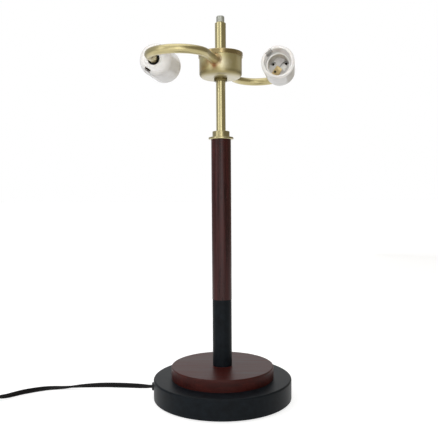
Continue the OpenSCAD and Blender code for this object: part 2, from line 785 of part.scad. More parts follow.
// A pocket sunk from a face square to the socket's axis, or from its base when turned over
module radial_block_at(z, angle, at, size, over = false) {
  translate([0, 0, z]) mirror([0, 0, over ? 1 : 0]) radial_block(angle, at, size);
}
module socket_left() {
  socket_body(false);
}
module socket_right() {
  socket_body(true);
}
module screw_shell(right) {
  color(nickel) socket_frame(right) translate([0, 0, socket_floor]) turned([
    [shell_r + shell_relief, 0], [shell_out, 0], [shell_out, shell_len],
    [shell_out + shell_lip_w, shell_len], [shell_out + shell_lip_w, shell_len + shell_lip_t],
    [shell_r, shell_len + shell_lip_t], [shell_r, shell_relief_h],
    [shell_r + shell_relief, shell_relief_h]]);
}
module screw_shell_left() {
  screw_shell(false);
}
module screw_shell_right() {
  screw_shell(true);
}
module contact_tongue(right) {
  color(brass) tongue_frame(right) translate([-tongue_root, 0, tongue_lift]) rotate([0, -tongue_slope, 0]) {
    translate([0, tongue_w / 2, 0]) rotate([90, 0, 0]) cylinder(r = knuckle_r, h = tongue_w);
    translate([0, -tongue_w / 2, -tongue_t / 2]) cube([tongue_len, tongue_w, tongue_t]);
    translate([tongue_len, tongue_w / 2, 0]) rotate([90, 0, 0]) cylinder(r = knuckle_r, h = tongue_w);
  }
}
module contact_tongue_left() {
  contact_tongue(false);
}
module contact_tongue_right() {
  contact_tongue(true);
}
module contact_feet() {
  back_len = foot_back - tongue_root - knuckle_r - soft_gap;
  color(brass) for (right = [true, false]) tongue_frame(right) difference() {
    union() {
      translate([-foot_back, -tongue_w / 2, 0]) cube([foot_back - foot_front, tongue_w, foot_t]);
      translate([-foot_back, -tongue_w / 2, 0]) cube([back_len, tongue_w, foot_stand]);
    }
    translate([-rivet_at, 0, -cut]) cylinder(d = rivet_d + 2 * seat_gap, h = foot_t + 2 * cut);
  }
}
module shell_straps() {
  color(nickel) for (right = [true, false]) tongue_frame(right)
    translate([strap_at.x, strap_at.y, 0]) difference() {
      translate([-strap_size / 2, -strap_size / 2, 0]) cube([strap_size, strap_size, strap_t]);
      translate([0, 0, -cut]) cylinder(d = rivet_d + 2 * seat_gap, h = strap_t + 2 * cut);
    }
}
module rivet(plate) {
  translate([0, 0, -rivet_bite]) cylinder(d = rivet_d, h = rivet_bite + plate);
  translate([0, 0, plate]) cylinder(d = rivet_head_d, h = rivet_head_h);
}
module floor_rivets() {
  color(nickel) for (right = [true, false]) tongue_frame(right) {
    translate([-rivet_at, 0, 0]) rivet(foot_t);
    translate([strap_at.x, strap_at.y, 0]) rivet(strap_t);
  }
}
module terminal_screws() {
  color(brass) for (right = [true, false]) for (a = pocket_angles) socket_frame(right) rotate([0, 0, a])
    translate([pocket_at, 0, socket_floor - pocket_size.z]) difference() {
      union() {
        cylinder(d = terminal_head_d, h = terminal_head_h);
        translate([0, 0, -terminal_bite]) cylinder(d = terminal_d, h = terminal_bite);
      }
      driver_slot(terminal_head_d, terminal_head_h);
    }
}
module driver_slot(d, top) {
  translate([-d, -slot_w / 2, top - slot_depth]) cube([2 * d, slot_w, slot_depth + cut]);
}
module socket_setscrews() {
  color(zinc) for (right = [true, false]) socket_frame(right)
    translate([0, arm_r + seat_gap, setscrew_z]) rotate([-90, 0, 0]) difference() {
      cylinder(d = setscrew_d, h = setscrew_len);
      driver_slot(setscrew_d, setscrew_len);
    }
}

// Wires held inside the lamp
module main_lead() {
  path = smooth(concat(
    [[-bushing_in + soft_gap, 0, cord_z]], main_route,
    [[0, 0, rod_bottom + 1], [0, 0, rod_bottom + 10]]), 3);
  color(black) swept(concat(path, [[0, 0, rod_top - 1.2]]), round_outline(main_lead_d, 8), up = [0, 1, 0]);
}
module splice_tails() {
  start_x = 1;
  path = smooth([
    [start_x, 0, rod_top - 1], [start_x, 0, rod_top + 1.5], [3.5, 0, rod_top + 4.2], [9, 0, rod_top + 6.6],
    [tail_end_x - 0.8, 0, rod_top + 6], [tail_end_x, 0, wire_end_z + 2], [tail_end_x, 0, wire_end_z]], 3);
  color(copper) for (right = [true, false]) on_side(right)
    swept(path, round_outline(tail_d, 6), up = [0, 1, 0]);
}
module wire_connectors() {
  r = connector_d / 2;
  color(porcelain) for (right = [true, false]) on_side(right)
    translate([connector_x, 0, cup_floor]) difference() {
      turned([[0, 0], [r - connector_taper, 0], [r, connector_tip_h], [r, connector_h], [0, connector_h]]);
      translate([0, 0, connector_h - connector_mouth_h])
        cylinder(r = r - connector_wall, h = connector_mouth_h + cut);
    }
}
// A point of the arm's own plane, turned and drooped to its place
function arm_point(p) =
  let (out = p.y * cos(arm_droop))
  [p.x * cos(arm_turn) + out * sin(arm_turn), out * cos(arm_turn) - p.x * sin(arm_turn),
   arm_z - p.y * sin(arm_droop)];

module arm_lead(right) {
  steps = 12;
  bend = [for (i = [0:steps]) let (a = 180 - arm_bend * i / steps)
    arm_point([arm_bend_r * (1 + cos(a)), arm_reach + arm_bend_r * sin(a)])];
  end_way = unit(arm_point([sin(arm_bend), cos(arm_bend)]) - arm_point([0, 0]));
  inner = smooth([
    [lead_end_x, 0, wire_end_z], [lead_end_x, 0.2, wire_end_z + 3], [lead_end_x - 1.5, 3, wire_end_z + 6.5],
    [lead_end_x / 2 - 1, 12, arm_z + 0.6], arm_point([0.3, cup_d / 2 - arm_tail]),
    arm_point([0, cup_d / 2 + 6])], 3);
  path = concat(inner, bend, [bend[steps] + (arm_leg + arm_grip) * end_way]);
  color(black) on_side(right) swept(path, round_outline(arm_lead_d, 6), up = [1, 1, 3]);
}
module arm_lead_left() {
  arm_lead(false);
}
module arm_lead_right() {
  arm_lead(true);
}

// Cord, coil and tie
module flat_cord(points) {
  path = [for (p = points) place(p)];
  color(black) swept(path, flat_outline(cord_w, cord_t, 8), twists = [for (p = points) p[3]]);
}
module cord_lead() {
  flat_cord(lead_points);
}
module cord_link() {
  flat_cord(link_points);
}
module cord_coil() {
  color(black) swept(coil_path, coil_outline, twists = [for (p = coil_path) 90]);
}
module cord_tie() {
  r0 = coil_inner - cord_t / 2 - soft_gap - tie_room;
  r1 = coil_r - coil_step / 2 + cord_t / 2 + soft_gap;
  z0 = coil_z - cord_w / 2 - soft_gap;
  z1 = coil_z + coil_layer + cord_w / 2 + soft_gap;
  color(black) translate([coil_at.x, coil_at.y, 0]) rotate([0, 0, tie_angle])
    translate([0, -tie_w / 2, 0]) difference() {
      translate([r0 - tie_t, 0, z0 - tie_t]) cube([r1 - r0 + 2 * tie_t, tie_w, z1 - z0 + 2 * tie_t]);
      translate([r0, -cut, z0]) cube([r1 - r0, tie_w + 2 * cut, z1 - z0]);
    }
}

// In-line switch
module switch_half(z0, h) {
  difference() {
    translate([0, 0, z0]) linear_extrude(height = h)
      polygon(rounded_rect(switch_len, switch_w, switch_corner_r));
    translate([wheel_x, wheel_y, switch_mid - wheel_t / 2 - wheel_gap])
      cylinder(d = wheel_d + 2 * wheel_gap, h = wheel_t + 2 * wheel_gap);
    translate([wheel_x, wheel_y, axle_end])
      cylinder(d = axle_d + 2 * seat_gap, h = switch_h - 2 * axle_end);
    for (x = [0, switch_len]) translate([x, 0, switch_mid])
      cube([2 * switch_inlet, cord_w + 2 * cord_gap, cord_t + 2 * cord_gap], center = true);
    for (x = switch_screw_places) translate([x, switch_screw_y, -cut]) {
      cylinder(d = switch_screw_head_d + 2 * seat_gap, h = switch_screw_z + cut);
      cylinder(d = switch_screw_d + 2 * seat_gap, h = switch_h - axle_end + cut);
    }
    for (x = contact_places) translate([x, contact_y, switch_mid])
      cube(contact_size + 2 * contact_gap * [1, 1, 1], center = true);
  }
}
module switch_lower() {
  color(black) switch_frame() switch_half(0, switch_mid);
}
module switch_upper() {
  color(black) switch_frame() switch_half(switch_mid, switch_h - switch_mid);
}
module switch_wheel() {
  color(black) switch_frame() translate([wheel_x, wheel_y, switch_mid - wheel_t / 2]) difference() {
    cylinder(d = wheel_d, h = wheel_t);
    translate([0, 0, -cut]) cylinder(d = axle_d + 2 * running_gap, h = wheel_t + 2 * cut);
    for (i = [0:wheel_ribs - 1]) rotate([0, 0, 360 * i / wheel_ribs])
      translate([wheel_d / 2 - rib_depth, -rib_w / 2, -cut])
      cube([rib_depth + cut, rib_w, wheel_t + 2 * cut]);
  }
}
module switch_axle() {
  color(nickel) switch_frame() translate([wheel_x, wheel_y, axle_end + axle_play])
    cylinder(d = axle_d, h = switch_h - 2 * (axle_end + axle_play));
}
module switch_screws() {
  color(nickel) switch_frame() for (x = switch_screw_places) translate([x, switch_screw_y, 0]) {
    translate([0, 0, switch_screw_sink]) cylinder(d = switch_screw_head_d, h = switch_screw_head_h);
    translate([0, 0, switch_screw_z])
      cylinder(d = switch_screw_d, h = switch_h - axle_end - switch_screw_z - end_gap);
  }
}
module switch_contacts() {
  color(brass) switch_frame() for (x = contact_places) translate([x, contact_y, switch_mid])
    cube(contact_size, center = true);
}

// Plug
module plug_body() {
  side = plug_w / 2;
  waist = plug_len * plug_waist;
  color(black) translate([plug_x, plug_y, 0]) difference() {
    linear_extrude(height = plug_h) polygon(concat(
      [[-plug_back_w / 2, 0], [plug_back_w / 2, 0]],
      arc([side - plug_waist_r, waist], plug_waist_r, -plug_flare, 0, 3),
      arc([side - plug_edge_r, plug_len - plug_edge_r], plug_edge_r, 0, 90, 4),
      arc([plug_edge_r - side, plug_len - plug_edge_r], plug_edge_r, 90, 180, 4),
      arc([plug_waist_r - side, waist], plug_waist_r, 180, 180 + plug_flare, 3)));
    translate([-cord_t / 2 - cord_gap, -cut, plug_h / 2 - cord_w / 2 - cord_gap])
      cube([cord_t + 2 * cord_gap, plug_inlet + cut, cord_w + 2 * cord_gap]);
    for (s = [-1, 1]) translate([s * blade_pitch / 2, plug_len - blade_root, plug_h / 2])
      translate([-blade_t / 2 - blade_gap, 0, -blade_w / 2 - blade_gap])
      cube([blade_t + 2 * blade_gap, blade_root + cut, blade_w + 2 * blade_gap]);
  }
}
module plug_blades() {
  color(nickel) translate([plug_x, plug_y + plug_len - blade_root, plug_h / 2]) for (s = [-1, 1])
    translate([s * blade_pitch / 2, 0, 0]) difference() {
      translate([-blade_t / 2, 0, -blade_w / 2]) cube([blade_t, blade_root + blade_len, blade_w]);
      translate([-blade_t, blade_root + blade_len - blade_hole_inset, 0]) rotate([0, 90, 0])
        cylinder(d = blade_hole_d, h = 2 * blade_t);
    }
}

base_disc();
ballast();
ballast_screws();
felt_pad();
rod_washer();
rod_nut();
cord_bushing();
wood_step();
lower_sleeve();
wood_column();
column_collar();
threaded_rod();
pole_tube();
seat_ring();
cluster_cup();
cluster_lid();
hickey();
upper_stud();
riser_tube();
arm_left();
arm_right();
braze_beads();
socket_left();
socket_right();
screw_shell_left();
screw_shell_right();
contact_tongue_left();
contact_tongue_right();
contact_feet();
shell_straps();
floor_rivets();
terminal_screws();
socket_setscrews();
main_lead();
splice_tails();
wire_connectors();
arm_lead_left();
arm_lead_right();
cord_lead();
cord_link();
cord_coil();
cord_tie();
switch_lower();
switch_upper();
switch_wheel();
switch_axle();
switch_screws();
switch_contacts();
plug_body();
plug_blades();
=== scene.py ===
# %% [markdown]
# # Dressing a brass and mahogany table lamp
#
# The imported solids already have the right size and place, so this lesson adds what solids leave out: a flexible
# cord, screw threads, softened edges and finishes. A finish could be one flat colour for each piece, but wood,
# brass, lacquer and porcelain are told apart by small changes of colour and gloss, so each gets its own nodes.

# %% Load the frame
import math

import bmesh
import bpy
from mathutils import Matrix, Vector


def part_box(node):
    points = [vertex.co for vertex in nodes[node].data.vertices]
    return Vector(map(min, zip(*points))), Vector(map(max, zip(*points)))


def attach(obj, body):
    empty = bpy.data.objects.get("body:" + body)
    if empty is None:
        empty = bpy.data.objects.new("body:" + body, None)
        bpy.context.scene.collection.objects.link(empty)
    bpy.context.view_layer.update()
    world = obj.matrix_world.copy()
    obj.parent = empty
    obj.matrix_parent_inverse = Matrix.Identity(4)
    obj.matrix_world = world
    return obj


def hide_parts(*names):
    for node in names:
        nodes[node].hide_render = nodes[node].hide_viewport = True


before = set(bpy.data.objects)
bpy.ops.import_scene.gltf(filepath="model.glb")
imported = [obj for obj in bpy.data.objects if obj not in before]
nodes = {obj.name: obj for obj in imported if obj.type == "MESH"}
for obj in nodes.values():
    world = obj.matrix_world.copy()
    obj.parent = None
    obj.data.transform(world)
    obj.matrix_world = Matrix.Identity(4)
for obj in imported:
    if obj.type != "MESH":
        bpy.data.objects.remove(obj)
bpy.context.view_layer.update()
scene = bpy.context.scene
scene.view_settings.view_transform = "Standard"
MM = 0.001
print("nodes in the frame:", len(nodes))

# %% [markdown]
# ## The camera
#
# The photograph was taken from a little above the middle of the lamp, 750 mm in front of it. A camera can be
# turned with Euler angles, but here its three axes are known, so they are written straight into its matrix:
# right, up and backwards. The roll of a third of a degree is the small lean of the column in the picture.

# %% Camera
PHOTO_LONG_SIDE = 440
FOCAL_PIXELS = 583.2
SENSOR_WIDTH = 36
CAMERA_AT = Vector((0.13, -750, 258.8)) * MM
CAMERA_LOOKS = Vector((-0.00455, 0.99926, -0.03825))
CAMERA_ROLL = math.radians(0.374)

camera_data = bpy.data.cameras.new("camera")
camera_data.sensor_width = SENSOR_WIDTH
camera_data.lens = FOCAL_PIXELS * SENSOR_WIDTH / PHOTO_LONG_SIDE
camera = bpy.data.objects.new("camera", camera_data)
scene.collection.objects.link(camera)
forward = CAMERA_LOOKS.normalized()
level = forward.cross(Vector((0, 0, 1))).normalized()
right = level * math.cos(CAMERA_ROLL) - level.cross(forward) * math.sin(CAMERA_ROLL)
axes = Matrix((right, right.cross(forward), -forward)).transposed()
camera.matrix_world = Matrix.Translation(CAMERA_AT) @ axes.to_4x4()
scene.camera = camera
print("lens in mm:", round(camera_data.lens, 2))

# %% [markdown]
# ## Mesh helpers
#
# Every new piece is a bmesh that ends as an object at the origin, with its place in its mesh. Smooth shading alone
# would smear the light round sharp corners, so edges that turn by more than a given angle are marked sharp. A few
# steps come back in many pieces, such as finding what an extrusion made, so they are written once here.

# %% From bmesh to object
SAME_POINT = 1e-6


def finish_mesh(bm, name, sharp_angle=35):
    bmesh.ops.remove_doubles(bm, verts=bm.verts, dist=SAME_POINT)
    bmesh.ops.recalc_face_normals(bm, faces=bm.faces)
    for face in bm.faces:
        face.smooth = True
    for edge in bm.edges:
        edge.smooth = edge.is_manifold and edge.calc_face_angle(0) < math.radians(sharp_angle)
    mesh = bpy.data.meshes.new(name)
    bm.to_mesh(mesh)
    bm.free()
    piece = bpy.data.objects.new(name, mesh)
    scene.collection.objects.link(piece)
    return piece


def dress(piece, body, slot, material, *replaced):
    piece.data.materials.clear()
    piece.data.materials.append(material)
    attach(piece, body)
    if replaced:
        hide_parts(*replaced)
    print(piece.name, "faces:", len(piece.data.polygons))


# %% Steps that come back
def new_verts(grown):
    return [g for g in grown["geom"] if isinstance(g, bmesh.types.BMVert)]


def open_edges(bm):
    return [e for e in bm.edges if e.is_boundary]


def soften(bm, edges, width, segments=2, clamp=False):
    bmesh.ops.bevel(bm, geom=edges, offset=width, affect="EDGES", segments=segments, profile=0.5, material=-1,
                    clamp_overlap=clamp)


def add_to(whole, bm):
    """Moves one bmesh into another, so that a pair of pieces can be one object."""
    mesh = bpy.data.meshes.new("passing")
    bm.to_mesh(mesh)
    bm.free()
    whole.from_mesh(mesh)
    bpy.data.meshes.remove(mesh)


# %% [markdown]
# ## Node helpers
#
# Effects that several finishes share are node groups. They could be drawn by hand in the editor, but a few small
# functions let a tree be read like a sum. A group only puts out colours, values and heights that change over the
# surface. The shader stays in each material, and what is the same all over is set on its own sockets.


# %% Building node trees
def add_node(tree, kind, inputs=None, **settings):
    made = tree.nodes.new(kind)
    for key, value in settings.items():
        setattr(made, key, value)
    for key, value in (inputs or {}).items():
        if isinstance(value, bpy.types.NodeSocket):
            tree.links.new(value, made.inputs[key])
        else:
            made.inputs[key].default_value = value
    return made


def math_node(tree, operation, a, b, clamp=False):
    return add_node(tree, "ShaderNodeMath", {0: a, 1: b}, operation=operation, use_clamp=clamp).outputs[0]


def times(tree, a, b):
    return math_node(tree, "MULTIPLY", a, b)


def weighted(tree, a, a_share, b, b_share):
    return math_node(tree, "ADD", times(tree, a, a_share), times(tree, b, b_share))


def length_of(tree, vector):
    return add_node(tree, "ShaderNodeVectorMath", {0: vector}, operation="LENGTH").outputs["Value"]


def noise_node(tree, vector, scale, detail=3, roughness=0.55):
    inputs = {"Vector": vector, "Scale": scale, "Detail": detail, "Roughness": roughness}
    return add_node(tree, "ShaderNodeTexNoise", inputs).outputs["Fac"]


def ramp_node(tree, factor, low, high):
    inputs = {"Value": factor, "From Min": low, "From Max": high}
    return add_node(tree, "ShaderNodeMapRange", inputs).outputs["Result"]


def span_node(tree, factor, low, high):
    inputs = {"Value": factor, "To Min": low, "To Max": high}
    return add_node(tree, "ShaderNodeMapRange", inputs).outputs["Result"]


def mix_colour(tree, factor, a, b):
    made = add_node(tree, "ShaderNodeMix", data_type="RGBA")
    for key, value in (("Factor_Float", factor), ("A_Color", a), ("B_Color", b)):
        socket = next(s for s in made.inputs if s.identifier == key)
        if isinstance(value, bpy.types.NodeSocket):
            tree.links.new(value, socket)
        else:
            socket.default_value = value
    return next(s for s in made.outputs if s.identifier == "Result_Color")


# %% Groups and colours
def new_group(name, inputs, outputs):
    tree = bpy.data.node_groups.new(name, "ShaderNodeTree")
    kinds = {"vector": "NodeSocketVector", "colour": "NodeSocketColor", "value": "NodeSocketFloat"}
    for label, kind in inputs.items():
        tree.interface.new_socket(label, in_out="INPUT", socket_type=kinds[kind])
    for label, kind in outputs.items():
        tree.interface.new_socket(label, in_out="OUTPUT", socket_type=kinds[kind])
    entry = tree.nodes.new("NodeGroupInput").outputs
    leave = tree.nodes.new("NodeGroupOutput").inputs
    return tree, entry, leave


def srgb(r, g, b):
    def linear(c):
        c /= 255
        return c / 12.92 if c <= 0.04045 else ((c + 0.055) / 1.055) ** 2.4
    return (linear(r), linear(g), linear(b), 1)


# %% [markdown]
# ## Shared effects
#
# Three groups serve most of the lamp. "turning marks" gives the fine lines that polishing leaves on metal and the
# cloudy change of colour under lacquer. "grain" gives wood its streaks and pores. "fine bloom" is the soft
# unevenness of lacquer, glaze and moulded plastic, with a few specks of dust. Images could carry all this, but
# noise has no edges and no size, so it fits every piece.

# %% Turning marks on metal
TWO_COLOURS = {"Light": "colour", "Dark": "colour"}
SURFACE = {"Color": "colour", "Roughness": "value", "Height": "value"}

TURNING, entry, leave = new_group("turning marks", {"Vector": "vector", "Clouds": "vector", **TWO_COLOURS}, SURFACE)
lines = noise_node(TURNING, entry["Vector"], 1, detail=4, roughness=0.7)
clouds = noise_node(TURNING, entry["Clouds"], 1)
blend = weighted(TURNING, lines, 0.35, clouds, 0.65)
tone = ramp_node(TURNING, blend, 0.3, 0.7)
TURNING.links.new(mix_colour(TURNING, tone, entry["Dark"], entry["Light"]), leave["Color"])
TURNING.links.new(ramp_node(TURNING, blend, 0.1, 0.9), leave["Roughness"])
TURNING.links.new(lines, leave["Height"])

# %% Grain of stained wood
GRAIN, entry, leave = new_group("grain", {"Vector": "vector", **TWO_COLOURS}, SURFACE)
figure = noise_node(GRAIN, entry["Vector"], 0.35)
streaks = noise_node(GRAIN, entry["Vector"], 1.6, detail=5, roughness=0.65)
pores = ramp_node(GRAIN, noise_node(GRAIN, entry["Vector"], 5, detail=2), 0.58, 0.72)
tone = ramp_node(GRAIN, weighted(GRAIN, figure, 0.55, streaks, 0.45), 0.34, 0.66)
tone = math_node(GRAIN, "SUBTRACT", tone, times(GRAIN, pores, 0.35), clamp=True)
GRAIN.links.new(mix_colour(GRAIN, tone, entry["Dark"], entry["Light"]), leave["Color"])
GRAIN.links.new(tone, leave["Roughness"])
GRAIN.links.new(math_node(GRAIN, "SUBTRACT", 1, pores), leave["Height"])

# %% Bloom on lacquer, glaze and plastic
BLOOM, entry, leave = new_group("fine bloom", {"Vector": "vector", **TWO_COLOURS}, SURFACE)
soft = noise_node(BLOOM, entry["Vector"], 1, detail=2)
fine = noise_node(BLOOM, entry["Vector"], 14, detail=2)
dust = ramp_node(BLOOM, noise_node(BLOOM, entry["Vector"], 40, detail=1), 0.72, 0.8)
tone = math_node(BLOOM, "ADD", ramp_node(BLOOM, soft, 0.3, 0.7), times(BLOOM, dust, 0.5), clamp=True)
BLOOM.links.new(mix_colour(BLOOM, tone, entry["Dark"], entry["Light"]), leave["Color"])
BLOOM.links.new(weighted(BLOOM, soft, 0.6, fine, 0.4), leave["Roughness"])
BLOOM.links.new(fine, leave["Height"])
print("groups:", [g.name for g in bpy.data.node_groups])

# %% [markdown]
# ## Finishes
#
# A finish places one group with its own scales and two colours, and reads the piece's own Object coordinates, so
# the pattern has the same size on every piece. Stretched scales turn noise into lines: many steps per metre
# across, few along. A single number is the same scale in all three directions.


# %% A finish from a group
def new_material(name):
    material = bpy.data.materials.new(name)
    material.use_nodes = True
    return material, material.node_tree, material.node_tree.nodes["Principled BSDF"]


def three_ways(scale):
    return scale if isinstance(scale, tuple) else (scale, scale, scale)


def finish(name, group, light, dark, scale, rough, bump, metallic=0.0, clouds=None, **shader_values):
    """Colours are 0 to 255, rough is the least and the most, and bump is its strength and its height in mm."""
    material, tree, shader = new_material(name)
    place = add_node(tree, "ShaderNodeTexCoord").outputs["Object"]
    effect = add_node(tree, "ShaderNodeGroup", node_tree=group)
    for label, scales in (("Vector", scale), ("Clouds", clouds)):
        if scales:
            mapping = add_node(tree, "ShaderNodeMapping", {"Vector": place, "Scale": three_ways(scales)})
            tree.links.new(mapping.outputs[0], effect.inputs[label])
    effect.inputs["Light"].default_value = srgb(*light)
    effect.inputs["Dark"].default_value = srgb(*dark)
    tree.links.new(effect.outputs["Color"], shader.inputs["Base Color"])
    tree.links.new(span_node(tree, effect.outputs["Roughness"], *rough), shader.inputs["Roughness"])
    raised = {"Height": effect.outputs["Height"], "Strength": bump[0], "Distance": bump[1] * MM}
    tree.links.new(add_node(tree, "ShaderNodeBump", raised).outputs[0], shader.inputs["Normal"])
    shader.inputs["Metallic"].default_value = metallic
    for key, value in shader_values.items():
        shader.inputs[key.replace("_", " ")].default_value = value
    return material


# %% [markdown]
# ## Heat marks and painted shade
#
# Each arm is brazed into the cup with a flame, which leaves brown and reddish stains, and ripples and bright
# specks of filler round the root. The stain under the root is also painted shade of the arm, and a tan spot at the
# cup's edge beside the root is painted shade. They could be painted on an image, but both roots are alike, so the
# back half of the cup is turned onto the front half, and one set of soft spots, broken up by noise, serves both.

# %% The cup's wall, laid flat round an arm's root
ROOT_AT = Vector((-6.37, -26.34, 427.76)) * MM
ROOT_ACROSS = (0.972, -0.2351)

marks = ("Stain_and_shade", "Shade_beside_root", "Speck", "Ripple", "Along")
HEAT, entry, leave = new_group("heat marks", {"Vector": "vector"}, {mark: "value" for mark in marks})
part = add_node(HEAT, "ShaderNodeSeparateXYZ", {"Vector": entry["Vector"]}).outputs
front = times(HEAT, math_node(HEAT, "SIGN", part["Y"], 0), -1)
near_x = math_node(HEAT, "SUBTRACT", times(HEAT, part["X"], front), ROOT_AT.x)
near_y = math_node(HEAT, "SUBTRACT", times(HEAT, part["Y"], front), ROOT_AT.y)
up = math_node(HEAT, "SUBTRACT", part["Z"], ROOT_AT.z)
across = weighted(HEAT, near_x, ROOT_ACROSS[0], near_y, ROOT_ACROSS[1])
flat = add_node(HEAT, "ShaderNodeCombineXYZ", {"X": across, "Y": up}).outputs[0]
broken = noise_node(HEAT, flat, 260, detail=4, roughness=0.65)
SPOT_BREAK, SPOT_OUT, SPOT_IN = 0.9, 1.4, 0.55


def soft_spot(x, y, reach):
    """1 in the middle of a spot on the flat wall, 0 outside it, with a broken edge. Its sizes are in mm."""
    scale = 1 / (reach * MM)
    moved = {"Vector": flat, "Location": (-x / reach, -y / reach, 0), "Scale": (scale, scale, 0)}
    far = length_of(HEAT, add_node(HEAT, "ShaderNodeMapping", moved).outputs[0])
    return ramp_node(HEAT, math_node(HEAT, "ADD", far, times(HEAT, broken, SPOT_BREAK)), SPOT_OUT, SPOT_IN)


# %% Stains with painted shade, painted shade beside the root, and specks
LEAST_GRIT = 0.4

# Heat stain under the root and to its left, which is also painted shade of the arm.
stain_and_shade = math_node(HEAT, "MAXIMUM", soft_spot(-1.5, -6.5, 6), times(HEAT, soft_spot(-9, 0.5, 7), 0.8))
HEAT.links.new(stain_and_shade, leave["Stain_and_shade"])
# Painted shade: a tan spot at the cup's edge beside the root, where the arm shades the cup.
HEAT.links.new(soft_spot(-17, -7, 10), leave["Shade_beside_root"])
grit = ramp_node(HEAT, noise_node(HEAT, flat, 1500, detail=2), 0.56, 0.7)
grit = math_node(HEAT, "MAXIMUM", grit, LEAST_GRIT)
HEAT.links.new(times(HEAT, grit, soft_spot(10, -3, 11)), leave["Speck"])

# %% Ripples, and the tint along the arm
RIPPLE_RATE = 3600
TINT_FULL, TINT_GONE, TINT_BREAK = 36 * MM, 64 * MM, 18 * MM

waves = math_node(HEAT, "SINE", times(HEAT, length_of(HEAT, flat), RIPPLE_RATE), 0)
HEAT.links.new(times(HEAT, waves, soft_spot(2, -1, 9)), leave["Ripple"])
level_place = add_node(HEAT, "ShaderNodeCombineXYZ", {"X": part["X"], "Y": part["Y"]}).outputs[0]
worn = math_node(HEAT, "ADD", length_of(HEAT, level_place), times(HEAT, broken, TINT_BREAK))
HEAT.links.new(ramp_node(HEAT, worn, TINT_GONE, TINT_FULL), leave["Along"])
print("heat marks hold", len(HEAT.nodes), "nodes")

# %% [markdown]
# ## The metals
#
# Lacquered brass is a yellow mirror under a thin clear coat, and the coat is what makes its brightest stripes
# nearly white. Bronze, zinc, nickel and steel follow the same pattern with other colours, so one function makes
# them all. Pieces that were polished on a lathe have fine level rings, and the others have no direction.

# %% Brass and bronze
LATHE = (300, 300, 3000)
SATIN = {"Coat_Weight": 0.5, "Coat_Roughness": 0.1}


def metal(name, light, dark, scale, clouds, rough, bump, **values):
    return finish(name, TURNING, light, dark, scale, rough, bump, clouds=clouds, **{"metallic": 1.0, **values})


brass = metal("satin_brass", (198, 188, 143), (190, 179, 132), LATHE, (60, 60, 20),
              rough=(0.2, 0.23), bump=(0.006, 0.01), **SATIN)
collar_brass = metal("spun_brass", (180, 170, 128), (164, 153, 112), LATHE, (60, 60, 20),
                     rough=(0.22, 0.28), bump=(0.02, 0.01), **SATIN)
arm_brass = metal("drawn_brass", (190, 178, 132), (178, 166, 119), 500, (40, 40, 60),
                  rough=(0.33, 0.38), bump=(0.008, 0.01), **SATIN)
cup_brass = metal("cup_brass", (200, 192, 146), (182, 170, 122), LATHE, (60, 60, 40),
                  rough=(0.4, 0.48), bump=(0.03, 0.01), **SATIN)
contact_brass = metal("contact_brass", (238, 218, 166), (222, 194, 138), 600, 200,
                      rough=(0.3, 0.42), bump=(0.05, 0.01), metallic=0.6)
braze = metal("braze_filler", (204, 188, 138), (164, 126, 88), 1400, 300, rough=(0.26, 0.44), bump=(0.5, 0.15))
bronze = metal("rubbed_bronze", (172, 153, 102), (144, 126, 80), LATHE, 90,
               rough=(0.2, 0.28), bump=(0.04, 0.01), Coat_Weight=1.0, Coat_Roughness=0.08)
dark_bronze = metal("dark_bronze", (112, 100, 64), (88, 78, 46), LATHE, 200, rough=(0.24, 0.34), bump=(0.05, 0.01))

# %% Plated and plain metals
zinc = metal("zinc_plate", (196, 198, 190), (164, 166, 156), 800, 200, rough=(0.3, 0.42), bump=(0.06, 0.01))
nickel = metal("nickel_plate", (236, 235, 231), (218, 216, 211), 800, 150, rough=(0.28, 0.38), bump=(0.03, 0.01))
copper = metal("bare_copper", (212, 140, 104), (160, 92, 64), 800, 150, rough=(0.3, 0.45), bump=(0.1, 0.01))
# Dark steel on the terminal screws, and on the eyelets and clamp plates, where its black is painted shade.
steel_and_shade = metal("blackened_steel_and_shade", (62, 58, 50), (38, 35, 30), 800, 200, rough=(0.4, 0.55), bump=(0.1, 0.01))
iron = finish("cast_iron", BLOOM, (74, 72, 70), (46, 45, 44), 300, rough=(0.6, 0.85), bump=(0.7, 0.2), metallic=0.6)
print("finishes so far:", len(bpy.data.materials))

# %% [markdown]
# ## Brass that met the flame
#
# The cup, the beads of filler and the arms start as plain brass. The base colour of each could be mixed anew, but
# it is simpler to lead the colour it has through the marks that it shows: stains with painted shade and specks on
# the cup and the beads, a spot of painted shade beside each root on the cup, and a brown tint on the arm that fades
# away from the cup. The cup is darker in a band just above its lower edge, and paler and greyer on its underside.

# %% Lead a finish through the marks
# Brown for the heat stains, which also paint the shade under the roots.
STAIN_AND_SHADE_BROWN, SPECK_PALE = srgb(140, 94, 60), srgb(240, 234, 212)


def heat_marks(material):
    tree = material.node_tree
    shader = tree.nodes["Principled BSDF"]
    place = next(n for n in tree.nodes if n.bl_idname == "ShaderNodeTexCoord").outputs["Object"]
    heat = add_node(tree, "ShaderNodeGroup", {"Vector": place}, node_tree=HEAT).outputs
    return tree, shader, place, heat, shader.inputs["Base Color"].links[0].from_socket


# Mixes in the heat stain with its painted shade, then the pale specks.
def stain_shade_and_specks(tree, heat, colour, share):
    colour = mix_colour(tree, times(tree, heat["Stain_and_shade"], share), colour, STAIN_AND_SHADE_BROWN)
    return mix_colour(tree, heat["Speck"], colour, SPECK_PALE)


# %% Marks on the cup
CUP_FOOT = 410.5 * MM
# Tan for the painted shade beside the roots, then a darker band above the lower edge and a paler underside.
SHADE_BESIDE_ROOT_TAN, DARK_BAND, UNDERSIDE = srgb(150, 120, 66), srgb(146, 134, 92), srgb(186, 178, 150)

tree, shader, place, heat, colour = heat_marks(cup_brass)
height = add_node(tree, "ShaderNodeSeparateXYZ", {"Vector": place}).outputs["Z"]
# Painted shade beside each root, in tan.
colour = mix_colour(tree, times(tree, heat["Shade_beside_root"], 0.7), colour, SHADE_BESIDE_ROOT_TAN)
